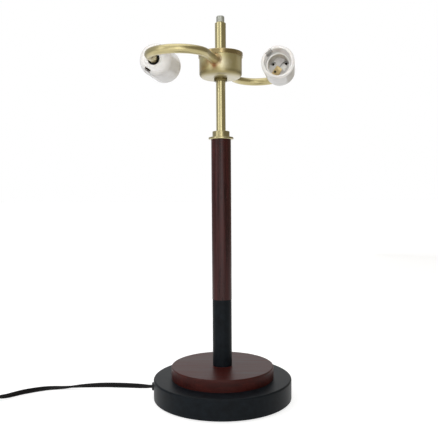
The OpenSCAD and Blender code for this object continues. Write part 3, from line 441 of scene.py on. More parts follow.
# Darker in a band just above the lower edge, paler and greyer on the underside.
for from_height, to_height, tone in ((9, 5, DARK_BAND), (3, 0.8, UNDERSIDE)):
    below = ramp_node(tree, height, CUP_FOOT + from_height * MM, CUP_FOOT + to_height * MM)
    colour = mix_colour(tree, below, colour, tone)
tree.links.new(stain_shade_and_specks(tree, heat, colour, 0.85), shader.inputs["Base Color"])
bump = shader.inputs["Normal"].links[0].from_socket
rippled = {"Height": heat["Ripple"], "Strength": 0.35, "Distance": 0.15 * MM, "Normal": bump}
tree.links.new(add_node(tree, "ShaderNodeBump", rippled).outputs[0], shader.inputs["Normal"])

# %% Marks on the beads and the arms
ARM_TINT = srgb(150, 116, 68)

tree, shader, place, heat, colour = heat_marks(braze)
tree.links.new(stain_shade_and_specks(tree, heat, colour, 0.9), shader.inputs["Base Color"])
tree, shader, place, heat, colour = heat_marks(arm_brass)
tree.links.new(mix_colour(tree, times(tree, heat["Along"], 0.7), colour, ARM_TINT), shader.inputs["Base Color"])
print("heat marks on:", [material.name for material in (cup_brass, braze, arm_brass)])

# %% [markdown]
# ## Wood, lacquer, porcelain and the rest
#
# The stained wood and the black lacquer are only half glossy, so their mirror-like part is turned down on the
# shader. A picture of wood could be wrapped round the column, but it would show a seam, and noise does not.
# Porcelain is almost white under a smooth glaze. Plain white would look like plaster, so a little light is let into
# it, as into the real clay. Plastic, fibre, cord, tape and felt differ mostly in roughness and bump. The black
# fibre is painted shade in the sockets' recesses.

# %% Wood and lacquer
column_wood = finish("mahogany_column", GRAIN, (69, 25, 23), (27, 10, 9), (420, 420, 22),
                     rough=(0.24, 0.36), bump=(0.08, 0.03), Specular_IOR_Level=0.24)
step_wood = finish("mahogany_step", GRAIN, (70, 25, 20), (42, 14, 11), (16, 260, 260),
                   rough=(0.34, 0.46), bump=(0.08, 0.03), Specular_IOR_Level=0.16)
lacquer = finish("black_lacquer", BLOOM, (18, 24, 29), (10, 14, 18), 120,
                 rough=(0.38, 0.5), bump=(0.05, 0.04), Specular_IOR_Level=0.1)

# %% Porcelain, plastic, cord and felt
porcelain = finish("glazed_porcelain", BLOOM, (238, 236, 233), (228, 225, 222), 60,
                   rough=(0.12, 0.2), bump=(0.02, 0.03), Specular_IOR_Level=0.35, Subsurface_Weight=0.6,
                   Subsurface_Scale=4 * MM, Subsurface_Radius=(1.0, 0.95, 0.9))
plastic = finish("black_plastic", BLOOM, (26, 26, 27), (16, 16, 17), 400,
                 rough=(0.4, 0.55), bump=(0.12, 0.05), Specular_IOR_Level=0.25)
# The black fibre is painted shade: it darkens the recess round each arm.
fibre_shade = finish("black_fibre_shade", BLOOM, (20, 19, 18), (10, 10, 9), 600,
               rough=(0.6, 0.8), bump=(0.3, 0.05), Specular_IOR_Level=0.15)
cord_skin = finish("black_cord", BLOOM, (22, 21, 21), (13, 12, 12), 300,
                   rough=(0.36, 0.5), bump=(0.1, 0.05), Specular_IOR_Level=0.12)
tape = finish("loop_tape", BLOOM, (30, 30, 31), (14, 14, 15), 1600,
              rough=(0.75, 0.9), bump=(0.9, 0.2), Sheen_Weight=0.3)
felt_cloth = finish("green_felt", BLOOM, (52, 78, 58), (34, 56, 40), 900,
                    rough=(0.85, 0.98), bump=(0.9, 0.4), Sheen_Weight=0.4)
print("finishes:", len(bpy.data.materials))

# %% [markdown]
# ## Finishes on the solids
#
# A solid whose shape is right, such as the turned column or the drawn cup, could be modelled again, but nothing
# would be won by it. It stays and only changes its material. The table below names each finish once.

# %% Dress the solids
SOLIDS = {
    lacquer: ["base_disc", "lower_sleeve"],
    step_wood: ["wood_step"],
    column_wood: ["wood_column"],
    collar_brass: ["column_collar"],
    brass: ["pole_tube", "hickey", "riser_tube", "switch_contacts"],
    cup_brass: ["cluster_cup"],
    contact_brass: ["contact_feet"],
    steel_and_shade: ["terminal_screws"],
    arm_brass: ["arm_left", "arm_right"],
    bronze: ["cluster_lid"],
    dark_bronze: ["seat_ring"],
    zinc: ["ballast_screws", "rod_washer", "rod_nut", "threaded_rod", "upper_stud", "socket_setscrews"],
    nickel: ["floor_rivets", "switch_axle", "switch_screws", "plug_blades"],
    porcelain: ["socket_left", "socket_right", "wire_connectors"],
    plastic: ["cord_bushing", "switch_wheel"],
    iron: ["ballast"],
    cord_skin: ["main_lead", "arm_lead_left", "arm_lead_right"],
    copper: ["splice_tails"],
}
for material, names in SOLIDS.items():
    for name in names:
        mesh = nodes[name].data
        mesh.materials.clear()
        mesh.materials.append(material)
print("solids dressed:", sum(len(names) for names in SOLIDS.values()))

# %% [markdown]
# ## The cord
#
# A flat twin cord is two round conductors joined by a thin web, so its section is like a figure of eight. It
# leaves the bushing lying flat, twists as it falls to the table, runs through a switch and ends in a coil and a
# plug. A curve with a bevel would hide the twist from us, so one ring is extruded from point to point: each step
# moves the new ring from the frame of the last point to that of the next.

# %% The section of a flat twin cord
CORD_WIDTH = 6.4
CORD_THICK = 3.0
LOBE_STEPS = 12
WEB_HALF = 0.55


def cord_section():
    radius = CORD_THICK / 2
    centre = CORD_WIDTH / 2 - radius
    reach = math.pi - math.asin(WEB_HALF / radius)
    lobe = []
    for i in range(LOBE_STEPS + 1):
        angle = reach * (2 * i / LOBE_STEPS - 1)
        lobe.append(Vector((centre + radius * math.cos(angle), radius * math.sin(angle), 0)))
    return lobe + [Vector((-p.x, -p.y, 0)) for p in lobe]


# %% A smooth path through points, and a section swept along it
def smooth(points, steps):
    """A curve through all the points, each with its twist as a fourth number."""
    points = [Vector(p) for p in points]
    path = []
    for i in range(len(points) - 1):
        a, b, c, d = points[max(i - 1, 0)], points[i], points[i + 1], points[min(i + 2, len(points) - 1)]
        for k in range(steps):
            t = k / steps
            path.append(0.5 * (2 * b + (c - a) * t + (2 * a - 5 * b + 4 * c - d) * t ** 2
                               + (3 * b - a - 3 * c + d) * t ** 3))
    return path + [points[-1]]


def ring_frame(path, i, twist, up):
    along = (path[min(i + 1, len(path) - 1)] - path[max(i - 1, 0)]).normalized()
    side = along.cross(up).normalized()
    facing = Matrix((side, side.cross(along), along)).transposed().to_4x4()
    return Matrix.Translation(path[i]) @ facing @ Matrix.Rotation(math.radians(twist), 4, "Z")


def sweep(name, section, path, twists=None, up=Vector((0, 0, 1)), sizes=None):
    bm = bmesh.new()
    ring = [bm.verts.new(p) for p in section]
    edges = [bm.edges.new((ring[k - 1], ring[k])) for k in range(len(ring))]
    here = Matrix.Identity(4)
    for i in range(len(path)):
        there = ring_frame(path, i, twists[i] if twists else 0, up)
        if sizes:
            there = there @ Matrix.Scale(sizes[i], 4)
        if i:
            grown = bmesh.ops.extrude_edge_only(bm, edges=edges)
            ring = new_verts(grown)
            edges = [g for g in grown["geom"] if isinstance(g, bmesh.types.BMEdge)]
        bmesh.ops.transform(bm, matrix=there @ here.inverted(), verts=ring)
        here = there
    bmesh.ops.holes_fill(bm, edges=open_edges(bm), sides=0)
    bmesh.ops.scale(bm, vec=(MM, MM, MM), verts=bm.verts)
    return finish_mesh(bm, name, sharp_angle=60)


# %% Where the cord runs
SWITCH_AT = Vector((-300, -20, 7))
SWITCH_TURN = math.radians(205)
SWITCH_LENGTH = 46
CORD_INLET = 5.8
COIL_AT = Vector((-354, 20, 4.5))
COIL_RADIUS, COIL_STEP, COIL_LAYER = 44, 4.8, 7.2
LOOPS_IN, LOOPS_CLIMB, LOOPS_OUT = 3, 0.5, 2.5
RINGS_PER_LOOP = 24
LEAD_ROUTE = [
    (-75, 0, 14.1, 0), (-92, 0, 14, 0), (-99, 0, 14, 15), (-110, 5, 13, 40), (-130, 14, 11, 65), (-160, 25, 8, 90),
    (-190, 31, 5, 135), (-215, 33, 2.4, 180), (-239, 28, 2.8, 215), (-262, 12, 3.8, 250), (-280, -6, 4.2, 290),
    (-292, -15, 6, 340)]
LINK_ROUTE = [(-353, -44, 6, 20), (-372, -44, 4.6, 55), (-389, -34, 4.6, 80), (-397, -16, 4.6, 90)]
PLUG_ROUTE = [(-396, 36, 11.8, 90), (-397, 48, 9.6, 90), (-397, 58, 7.4, 90), (-397, 66, 7, 90),
              (-397, 71.8, 7, 90)]


def switch_point(x, twist):
    way = Vector((math.cos(SWITCH_TURN), math.sin(SWITCH_TURN), 0))
    return (*(SWITCH_AT + x * way), twist)


def coil_point(t):
    """A point of the coil after t loops: inwards on the table, up one layer and outwards again."""
    inner = COIL_RADIUS - COIL_STEP * LOOPS_IN
    outwards = max(0, t - LOOPS_IN - LOOPS_CLIMB)
    radius = COIL_RADIUS - COIL_STEP * t if t < LOOPS_IN else inner + COIL_STEP * outwards
    climb = min(max((t - LOOPS_IN) / LOOPS_CLIMB, 0), 1)
    angle = math.pi - 2 * math.pi * t
    rise = COIL_LAYER * climb * climb * (3 - 2 * climb)
    return (*(COIL_AT + Vector((radius * math.cos(angle), radius * math.sin(angle), rise))), 90)


def split(points):
    return [Vector(p[:3]) for p in points], [p[3] for p in points]


def path_length(path):
    return sum((b - a).length for a, b in zip(path, path[1:]))


# %% The length that is seen, from the base to the switch
LEAD_STEPS = 8

lead_route = LEAD_ROUTE + [switch_point(0, 360), switch_point(CORD_INLET, 360)]
lead_path, lead_twists = split(smooth(lead_route, LEAD_STEPS))
flex_lead = sweep("flex_lead", cord_section(), lead_path, lead_twists)
dress(flex_lead, "stand", "black_cord", cord_skin, "cord_lead")
print("lead in mm:", round(path_length(lead_path)))

# %% The coiled length, from the switch to the plug
LINK_STEPS, COIL_STEPS = 6, 2

loops = LOOPS_IN + LOOPS_CLIMB + LOOPS_OUT
coil = [coil_point(i / RINGS_PER_LOOP) for i in range(int(loops * RINGS_PER_LOOP) + 1)]
start = coil[0]
before_start = (start[0], start[1] - CORD_WIDTH, start[2], 90)
out_of_switch = [switch_point(SWITCH_LENGTH - CORD_INLET, 0), switch_point(SWITCH_LENGTH, 0)]
into_coil = smooth(out_of_switch + LINK_ROUTE + [before_start, start], LINK_STEPS)
to_plug = smooth([coil[-1]] + PLUG_ROUTE, LINK_STEPS)
tail_path, tail_twists = split(into_coil[:-1] + smooth(coil, COIL_STEPS)[:-1] + to_plug)
flex_tail = sweep("flex_tail", cord_section(), tail_path, tail_twists)
dress(flex_tail, "stand", "black_cord", cord_skin, "cord_link", "cord_coil")
print("coiled length in mm:", round(path_length(tail_path)))

# %% [markdown]
# ## The tie round the coil
#
# A strip of hook-and-loop tape holds the coil. A closed ring would be simpler, but real tape laps over its own
# end, so the path goes once round the bundle and then a little further, one thickness higher.

# %% The way round the bundle
TIE_AT_Y = 20
TIE_LOW, TIE_HIGH = Vector((-327.1, 0, 0.6)), Vector((-310.2, 0, 15.6))
TIE_CORNER, CORNER_STEPS = 2.4, 6
TIE_WIDTH, TIE_THICK, TIE_EDGE = 8.0, 0.8, 0.3
TIE_LAP, LAP_START, LAP_ON_TOP = 6.0, 3, 1
LAP_RISE, LAP_ROOM = 0.3, 0.1


def tie_path():
    corners = [(TIE_LOW.x, TIE_HIGH.z, 180), (TIE_LOW.x, TIE_LOW.z, 270), (TIE_HIGH.x, TIE_LOW.z, 360),
               (TIE_HIGH.x, TIE_HIGH.z, 90)]
    middle = (TIE_LOW.x + TIE_HIGH.x) / 2
    path = [Vector((middle, TIE_AT_Y, TIE_HIGH.z))]
    for x, z, start in corners:
        way = Vector((math.copysign(1, middle - x), math.copysign(1, TIE_HIGH.z / 2 - z)))
        for k in range(CORNER_STEPS + 1):
            angle = math.radians(start - 90 + 90 * k / CORNER_STEPS)
            path.append(Vector((x + TIE_CORNER * (way.x + math.cos(angle)), TIE_AT_Y,
                                z + TIE_CORNER * (way.y + math.sin(angle)))))
    lifted = TIE_HIGH.z + TIE_THICK + LAP_ROOM
    lap = ((LAP_START, TIE_HIGH.z + LAP_RISE), (LAP_ON_TOP, lifted), (-TIE_LAP, lifted))
    return path + [Vector((middle + x, TIE_AT_Y, z)) for x, z in lap]


# %% The tie
half_t, half_w = TIE_THICK / 2, TIE_WIDTH / 2
in_t, in_w = half_t - TIE_EDGE, half_w - TIE_EDGE
half_section = [(half_t, in_w), (in_t, half_w), (-in_t, half_w), (-half_t, in_w)]
tie_section = [Vector((x, y, 0)) for x, y in half_section + [(-x, -y) for x, y in half_section]]
tie_band = sweep("tie_band", tie_section, tie_path(), up=Vector((0, 1, 0)))
dress(tie_band, "stand", "black_cord", tape, "cord_tie")

# %% [markdown]
# ## Where the sockets sit
#
# The small pieces of a socket could be modelled where they are, but they are easier to make at the origin, with
# the bulb's axis along Z. The chain of moves below then carries them into place the way the arm goes: out of the
# cup, round the bend and into the socket.

# %% Frames of the arms and sockets
ARM_HEIGHT, ARM_TURN, ARM_DROOP = 428.8, 13.6, 2.2
ARM_REACH, BEND_RADIUS, ARM_BEND, ARM_LEG = 72, 33.8, 176, 14.3
SOCKET_FLOOR = 19.5
TONGUE_TURN = 50
SIDES = {"left": 180, "right": 0}


def move(x, y, z):
    return Matrix.Translation((x, y, z))


def turn(degrees, axis):
    return Matrix.Rotation(math.radians(degrees), 4, axis)


def arm_frame(side):
    return turn(SIDES[side] - ARM_TURN, "Z") @ move(0, 0, ARM_HEIGHT) @ turn(-ARM_DROOP, "X")


def socket_frame(side):
    bend = move(BEND_RADIUS, ARM_REACH, 0) @ turn(180 - ARM_BEND, "Z") @ move(BEND_RADIUS, -ARM_LEG, 0)
    return arm_frame(side) @ bend @ turn(90, "X")


def floor_frame(side):
    return socket_frame(side) @ move(0, 0, SOCKET_FLOOR) @ turn(TONGUE_TURN, "Z")


def put(bm, place):
    bmesh.ops.transform(bm, matrix=Matrix.Scale(MM, 4) @ place, verts=bm.verts)


print("right socket's base in mm:", [round(x, 1) for x in socket_frame("right").translation])

# %% [markdown]
# ## Screw shells
#
# A bulb's screw shell is thin sheet, rolled into a round thread with a pitch of 3.6 mm. Stacked rings would look
# alike from afar, but would not screw. So one wavy line is spun once round the axis and climbs by one pitch on the
# way, so that it meets itself and the seam can be merged. Cuts level the two ends, the upper edge is turned out
# into a flange, and the sheet gets its thickness last.

# %% Screw shells
SHELL_PITCH, SHELL_LENGTH = 3.63, 20.3
SHELL_CREST, SHELL_ROOT, SHELL_FLANGE = 13.34, 13.86, 15.1
SHELL_SHEET = 0.2
WAVE_STEPS, SHELL_STEPS = 10, 60
SPARE_STEPS = 2
SEAM = 1e-4


def shell_mesh():
    bm = bmesh.new()
    middle, swing = (SHELL_ROOT + SHELL_CREST) / 2, (SHELL_ROOT - SHELL_CREST) / 2
    line = []
    top = int(SHELL_LENGTH / SHELL_PITCH * WAVE_STEPS) + SPARE_STEPS
    for i in range(-WAVE_STEPS - SPARE_STEPS, top + 1):
        wave = middle + swing * math.cos(2 * math.pi * i / WAVE_STEPS)
        line.append(bm.verts.new((wave, 0, SHELL_PITCH * i / WAVE_STEPS)))
    edges = [bm.edges.new(pair) for pair in zip(line, line[1:])]
    bmesh.ops.spin(bm, geom=line + edges, axis=(0, 0, 1), cent=(0, 0, 0), angle=2 * math.pi, steps=SHELL_STEPS,
                   dvec=(0, 0, SHELL_PITCH / SHELL_STEPS))
    bmesh.ops.remove_doubles(bm, verts=bm.verts, dist=SEAM)
    for height, way in ((0, -1), (SHELL_LENGTH, 1)):
        bmesh.ops.bisect_plane(bm, geom=bm.verts[:] + bm.edges[:] + bm.faces[:], plane_co=(0, 0, height),
                               plane_no=(0, 0, way), clear_outer=True)
    brim = [e for e in open_edges(bm) if e.verts[0].co.z > SHELL_LENGTH / 2]
    for v in new_verts(bmesh.ops.extrude_edge_only(bm, edges=brim)):
        v.co.xy = v.co.xy.normalized() * SHELL_FLANGE
    bmesh.ops.recalc_face_normals(bm, faces=bm.faces)
    bmesh.ops.solidify(bm, geom=bm.faces[:], thickness=SHELL_SHEET)
    return bm


for side in SIDES:
    bm = shell_mesh()
    radii = [v.co.xy.length for v in bm.verts]
    put(bm, socket_frame(side) @ move(0, 0, SOCKET_FLOOR))
    shell = finish_mesh(bm, "thread_shell_" + side)
    dress(shell, "stand", "nickel", nickel, "screw_shell_" + side)
print("shell radii in mm:", round(min(radii), 2), round(max(radii), 2))

# %% [markdown]
# ## Contacts on the socket's floor
#
# The middle contact is a springy tongue of brass: a strip with a rivet hole near its root, a pressed dimple near
# its tip and a tip that curls down. A box would do for the strip but not for its bends, so a grid is stretched to
# the strip, opened and pressed, and then given its thickness. The side contact is a nickel plate with a cross-cut
# face, whose small squares are inset from a grid and raised.

# %% Contact tongues
TONGUE_LENGTH, TONGUE_WIDTH, TONGUE_SHEET = 11.4, 9.0, 0.5
TONGUE_ROOT, TONGUE_LIFT, TONGUE_SLOPE, TONGUE_BACK = -9.5, 1.3, 25, 0.3
TONGUE_HOLE, HOLE_RADIUS = Vector((2.9, 1.7, 0)), 1.35
TONGUE_DIMPLE, DIMPLE_RADIUS, DIMPLE_HEIGHT = Vector((7.6, 0.6, 0)), 1.7, 0.6
CURL_FROM, CURL_DOWN, CURL_NARROW = 8.6, 0.16, 0.03


def tongue_mesh():
    bm = bmesh.new()
    bmesh.ops.create_grid(bm, x_segments=24, y_segments=18, size=0.5)
    bmesh.ops.scale(bm, vec=(TONGUE_LENGTH, TONGUE_WIDTH, 1), verts=bm.verts)
    bmesh.ops.translate(bm, vec=(TONGUE_LENGTH / 2 - TONGUE_BACK, 0, 0), verts=bm.verts)
    inside = [v for v in bm.verts if (v.co - TONGUE_HOLE).length < HOLE_RADIUS]
    bmesh.ops.delete(bm, geom=inside, context="VERTS")
    for v in bm.verts:
        from_hole = v.co - TONGUE_HOLE
        if v.is_boundary and from_hole.length < 2 * HOLE_RADIUS:
            v.co = TONGUE_HOLE + from_hole.normalized() * HOLE_RADIUS
        near = min((v.co - TONGUE_DIMPLE).length / DIMPLE_RADIUS, 1)
        past = max(v.co.x - CURL_FROM, 0)
        v.co.z += DIMPLE_HEIGHT * (1 - near ** 2) ** 2 - CURL_DOWN * past ** 2
        v.co.y *= 1 - CURL_NARROW * past ** 2
    bmesh.ops.recalc_face_normals(bm, faces=bm.faces)
    bmesh.ops.solidify(bm, geom=bm.faces[:], thickness=TONGUE_SHEET)
    return bm


def tongue_frame(side):
    return floor_frame(side) @ move(TONGUE_ROOT, 0, TONGUE_LIFT) @ turn(-TONGUE_SLOPE, "Y")


for side in SIDES:
    bm = tongue_mesh()
    put(bm, tongue_frame(side))
    tongue = finish_mesh(bm, "spring_tongue_" + side)
    dress(tongue, side + "_contact", "brass", contact_brass, "contact_tongue_" + side)

# %% Side contacts
PLATE_AT, PLATE_SIZE, PLATE_THICK = Vector((5.2, -3.6, 0)), 7.4, 0.8
PLATE_CUTS, CUT_WIDTH, CUT_DEPTH = 5, 0.28, 0.3


def plate_mesh():
    bm = bmesh.new()
    bmesh.ops.create_grid(bm, x_segments=PLATE_CUTS, y_segments=PLATE_CUTS, size=PLATE_SIZE / 2)
    top = bm.faces[:]
    grown = bmesh.ops.extrude_edge_only(bm, edges=open_edges(bm))
    bmesh.ops.translate(bm, vec=(0, 0, -PLATE_THICK), verts=new_verts(grown))
    bmesh.ops.holes_fill(bm, edges=open_edges(bm), sides=0)
    bmesh.ops.recalc_face_normals(bm, faces=bm.faces)
    bmesh.ops.inset_individual(bm, faces=top, thickness=CUT_WIDTH, depth=CUT_DEPTH)
    return bm


both = bmesh.new()
for side in SIDES:
    bm = plate_mesh()
    put(bm, floor_frame(side) @ move(PLATE_AT.x, PLATE_AT.y, PLATE_THICK))
    add_to(both, bm)
plates = finish_mesh(both, "side_plates", sharp_angle=20)
dress(plates, "stand", "nickel", nickel, "shell_straps")

# %% [markdown]
# ## Eyelets in the tongues
#
# A black eyelet closes the hole at each tongue's root, and its black is painted shade for the deep hole. It could
# be cut from a cylinder, but a ring is quickest as an outline of a few corners that is spun once round, and the
# same function serves the rings further down.


# %% Turned pieces
def turned(outline, steps=64):
    bm = bmesh.new()
    loop = [bm.verts.new((x, 0, z)) for x, z in outline]
    edges = [bm.edges.new((loop[k - 1], loop[k])) for k in range(len(loop))]
    bmesh.ops.spin(bm, geom=loop + edges, axis=(0, 0, 1), cent=(0, 0, 0), angle=2 * math.pi, steps=steps,
                   use_merge=True)
    return bm


# %% Eyelets
EYELET_IN, EYELET_OUT = 0.35, HOLE_RADIUS + 0.35
EYELET_LOW, EYELET_BRIM, EYELET_TOP = -0.5, 0.08, 0.28
EYELET_EDGE, EYELET_DISH = 0.1, 0.3

# The eyelet's black is painted shade for the hole at the tongue's root.
for side in SIDES:
    bm = turned([(EYELET_IN, EYELET_LOW), (HOLE_RADIUS, EYELET_LOW), (HOLE_RADIUS, EYELET_BRIM),
                 (EYELET_OUT, EYELET_BRIM), (EYELET_OUT - EYELET_EDGE, EYELET_TOP),
                 (EYELET_IN + EYELET_DISH, EYELET_TOP), (EYELET_IN, EYELET_TOP - EYELET_DISH)], steps=32)
    bmesh.ops.translate(bm, vec=TONGUE_HOLE, verts=bm.verts)
    put(bm, tongue_frame(side))
    dress(finish_mesh(bm, "eyelet_" + side), side + "_contact", "zinc", steel_and_shade)

# %% [markdown]
# ## Beads of filler at the arms' roots
#
# Brazing leaves a hollow, rippled fillet between the arm and the cup. A bevel would need both pieces to be one, so
# the fillet is made by itself. Its section is a quarter hollow with small waves. It is spun round the arm's axis,
# and every point is then pushed back onto the curved wall of the cup.

# %% Fillets
CUP_RADIUS, ARM_RADIUS = 27.1, 5.2
FILLET_REACH, FILLET_WAVES, FILLET_WAVE = 3.6, 3.5, 0.16
FILLET_SINK, FILLET_LAP = 0.5, 0.1
FILLET_STEPS = 28


def fillet_outline():
    rim, inner = ARM_RADIUS + FILLET_REACH, ARM_RADIUS - FILLET_LAP
    outline = []
    for i in range(FILLET_STEPS + 1):
        angle = math.pi / 2 * i / FILLET_STEPS
        reach = FILLET_REACH + FILLET_WAVE * math.sin(2 * math.pi * FILLET_WAVES * i / FILLET_STEPS)
        outline.append((rim - reach * math.cos(angle), FILLET_REACH - reach * math.sin(angle)))
    return outline + [(rim, -FILLET_SINK), (inner, -FILLET_SINK), (inner, FILLET_REACH)]


beads = bmesh.new()
for side in SIDES:
    bm = turned(fillet_outline(), steps=96)
    bmesh.ops.rotate(bm, cent=(0, 0, 0), matrix=turn(-90, "X").to_3x3(), verts=bm.verts)
    for v in bm.verts:
        v.co.y += math.sqrt(CUP_RADIUS ** 2 - v.co.x ** 2)
    put(bm, arm_frame(side))
    add_to(beads, bm)
dress(finish_mesh(beads, "braze_fillets"), "stand", "dark_brass", braze, "braze_beads")

# %% [markdown]
# ## The felt under the base
#
# A disc of felt keeps the base from scratching the table. A flat cylinder would have a hard rim, so a circle is
# raised by the felt's thickness and its two rims are softened. It is cut from sheet.

# %% Felt
FELT_RADIUS, FELT_THICK, FELT_EDGE = 85, 1.2, 0.25

bm = bmesh.new()
bmesh.ops.create_circle(bm, cap_ends=True, radius=FELT_RADIUS * MM, segments=128)
grown = bmesh.ops.extrude_face_region(bm, geom=bm.faces[:])
bmesh.ops.translate(bm, vec=(0, 0, FELT_THICK * MM), verts=new_verts(grown))
rims = [e for e in bm.edges if abs(e.verts[0].co.z - e.verts[1].co.z) < SAME_POINT]
soften(bm, rims, FELT_EDGE * MM)
felt_disc = finish_mesh(bm, "felt_disc")
dress(felt_disc, "stand", "felt", felt_cloth, "felt_pad")

# %% [markdown]
# ## Rings and plates in the recesses
#
# The arm stands in a wide hole in the socket's base, on a black fibre ring, and a black clamp plate lies in the
# slot beside it. Both are dark pieces put where the recesses lie in shade, so their black is painted shade. A dark
# material in the recess could stand for both, but from near they show, so the ring is turned from an outline and
# the plate is a cube with soft edges.

# %% A fibre ring and a clamp plate, dark as painted shade
RING_INNER, RING_OUTER = 5.25, 7.45
RING_LOW, RING_HIGH, RING_EDGE = 1.6, 7.95, 0.4
CLAMP_SIZE, CLAMP_EDGE = (1.9, 8.4, 6), 0.3


def ring_mesh():
    return turned([(RING_INNER, RING_LOW + RING_EDGE), (RING_INNER + RING_EDGE, RING_LOW),
                   (RING_OUTER - RING_EDGE, RING_LOW), (RING_OUTER, RING_LOW + RING_EDGE),
                   (RING_OUTER, RING_HIGH), (RING_INNER, RING_HIGH)])


def clamp_mesh():
    bm = bmesh.new()
    bmesh.ops.create_cube(bm, size=1)
    bmesh.ops.scale(bm, vec=CLAMP_SIZE, verts=bm.verts)
    soften(bm, bm.edges[:], CLAMP_EDGE)
    return bm


# %% One of each in both sockets
SLOT_ANGLE, SLOT_AT, SLOT_DEPTH = -55, 14.2, 5.0

for side in SIDES:
    bm = ring_mesh()
    put(bm, socket_frame(side))
    # The black ring is painted shade in the gap round the arm.
    dress(finish_mesh(bm, "fibre_shade_ring_" + side), "stand", "black_plastic", fibre_shade)
    bm = clamp_mesh()
    put(bm, socket_frame(side) @ turn(SLOT_ANGLE, "Z") @ move(SLOT_AT, 0, SLOT_DEPTH + CLAMP_SIZE[2] / 2))
    # The dark plate is painted shade in the slot.
    dress(finish_mesh(bm, "clamp_shade_plate_" + side), "stand", "zinc", steel_and_shade)

# %% [markdown]
# ## The thread on the stud
#
# The bare end of the stud carries a fine pipe thread, 27 turns to the inch. It could be a bump in the finish, but
# the outline would stay smooth, so a small ridge is swept along a helix and fades out at both ends.

# %% Stud thread
STUD_RADIUS, STUD_LOW, STUD_HIGH = 4.9, 481.2, 488.2
THREAD_PITCH, THREAD_STEPS = 0.94, 32
RIDGE_FOOT, RIDGE_HEIGHT = 0.12, 0.28
FOOT_HALF, TOP_HALF = 0.44, 0.07
FADE_TURNS, FADE_LEAST = 0.5, 0.15

turns = (STUD_HIGH - STUD_LOW) / THREAD_PITCH
count = int(turns * THREAD_STEPS)
helix, sizes = [], []
for i in range(count + 1):
    angle = 2 * math.pi * i / THREAD_STEPS
    rise = THREAD_PITCH * i / THREAD_STEPS
    helix.append(Vector((STUD_RADIUS * math.cos(angle), STUD_RADIUS * math.sin(angle), STUD_LOW + rise)))
    turns_to_end = min(i, count - i) / THREAD_STEPS
    sizes.append(max(min(1, turns_to_end / FADE_TURNS), FADE_LEAST))
ridge = [Vector((x, y, 0)) for x, y in (
    (-RIDGE_FOOT, -FOOT_HALF), (RIDGE_HEIGHT, -TOP_HALF), (RIDGE_HEIGHT, TOP_HALF), (-RIDGE_FOOT, FOOT_HALF))]
stud_thread = sweep("stud_thread", ridge, helix, sizes=sizes)
dress(stud_thread, "stand", "zinc", zinc)
print("turns of thread:", round(turns, 1))

# %% [markdown]
# ## Softened housings
#
# The switch and the plug are moulded, so their outer edges are round. They could be modelled anew, but their
# solids already have the right recesses. So a copy of each is merged, its flat faces are joined again, and only
# the edges round its outside are bevelled.

# %% Edges round the outside of a housing
ON_LEVEL = 1e-5
CORNER_ANGLE = math.radians(60)
UPRIGHT = 0.1
WALL_FROM_MIDDLE, EDGE_FROM_MIDDLE = 4 * MM, 8 * MM


def is_outer_edge(edge, centre, heights):
    if not any(all(abs(v.co.z - h * MM) < ON_LEVEL for v in edge.verts) for h in heights):
        return False
    if len(edge.link_faces) != 2 or edge.calc_face_angle(0) < CORNER_ANGLE:
        return False
    wall = min(edge.link_faces, key=lambda f: abs(f.normal.z))
    outwards = ((edge.verts[0].co + edge.verts[1].co) / 2 - centre).xy
    wall_at = (wall.calc_center_median() - centre).xy
    return (abs(wall.normal.z) < UPRIGHT and wall.normal.xy.dot(outwards) > 0
            and wall_at.dot(wall.normal.xy) > WALL_FROM_MIDDLE and outwards.length > EDGE_FROM_MIDDLE)


# %% Switch and plug housings
FLAT_ANGLE = math.radians(1)
ROUND_STEPS = 4
HOUSINGS = (("switch_top", "switch_upper", [14], 2.4), ("switch_bottom", "switch_lower", [0], 1.2),
            ("plug_grip", "plug_body", [0, 14], 3.2))

housing = {}
for name, node, heights, width in HOUSINGS:
    bm = bmesh.new()
    bm.from_mesh(nodes[node].data)
    bmesh.ops.remove_doubles(bm, verts=bm.verts, dist=SAME_POINT)
    bmesh.ops.dissolve_limit(bm, angle_limit=FLAT_ANGLE, verts=bm.verts, edges=bm.edges)
    low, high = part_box(node)
    centre = (Vector(low) + Vector(high)) / 2
    outer = [e for e in bm.edges if is_outer_edge(e, centre, heights)]
    soften(bm, outer, width * MM, segments=ROUND_STEPS, clamp=True)
    housing[name] = finish_mesh(bm, name)
    dress(housing[name], "stand", "black_plastic", plastic, node)

# %% [markdown]
# ## What the cords are
#
# The length could be typed in, but it is measured on the path that was swept.

print("cords in m:", [round(path_length(path) * MM, 3) for path in (lead_path, tail_path)])

# %% [markdown]
# ## Windows and fills
#
# Polished tubes show the room more than they show their own colour. One big soft light would be even, but brass
# needs shapes to mirror: a tall window at the left and a narrower one near the camera give its two bright stripes,
# and a low light and the ceiling fill in. Two more fills, at the left and behind, are hidden from reflections, so
# they lift the wood and the porcelain and leave the brass as it is.


# %% Windows and fills
def hang(data, at, aim, power, in_metal):
    data.energy = power
    lamp = bpy.data.objects.new(data.name, data)
    lamp.location = at
    lamp.rotation_euler = (Vector(aim) - Vector(at)).to_track_quat("-Z", "Y").to_euler()
    lamp.visible_glossy = in_metal
    scene.collection.objects.link(lamp)


def soft_lamp(name, at, aim, size, power, in_metal=True):
    data = bpy.data.lights.new(name, "AREA")
    data.shape = "RECTANGLE"
    data.size, data.size_y = size
    hang(data, at, aim, power, in_metal)


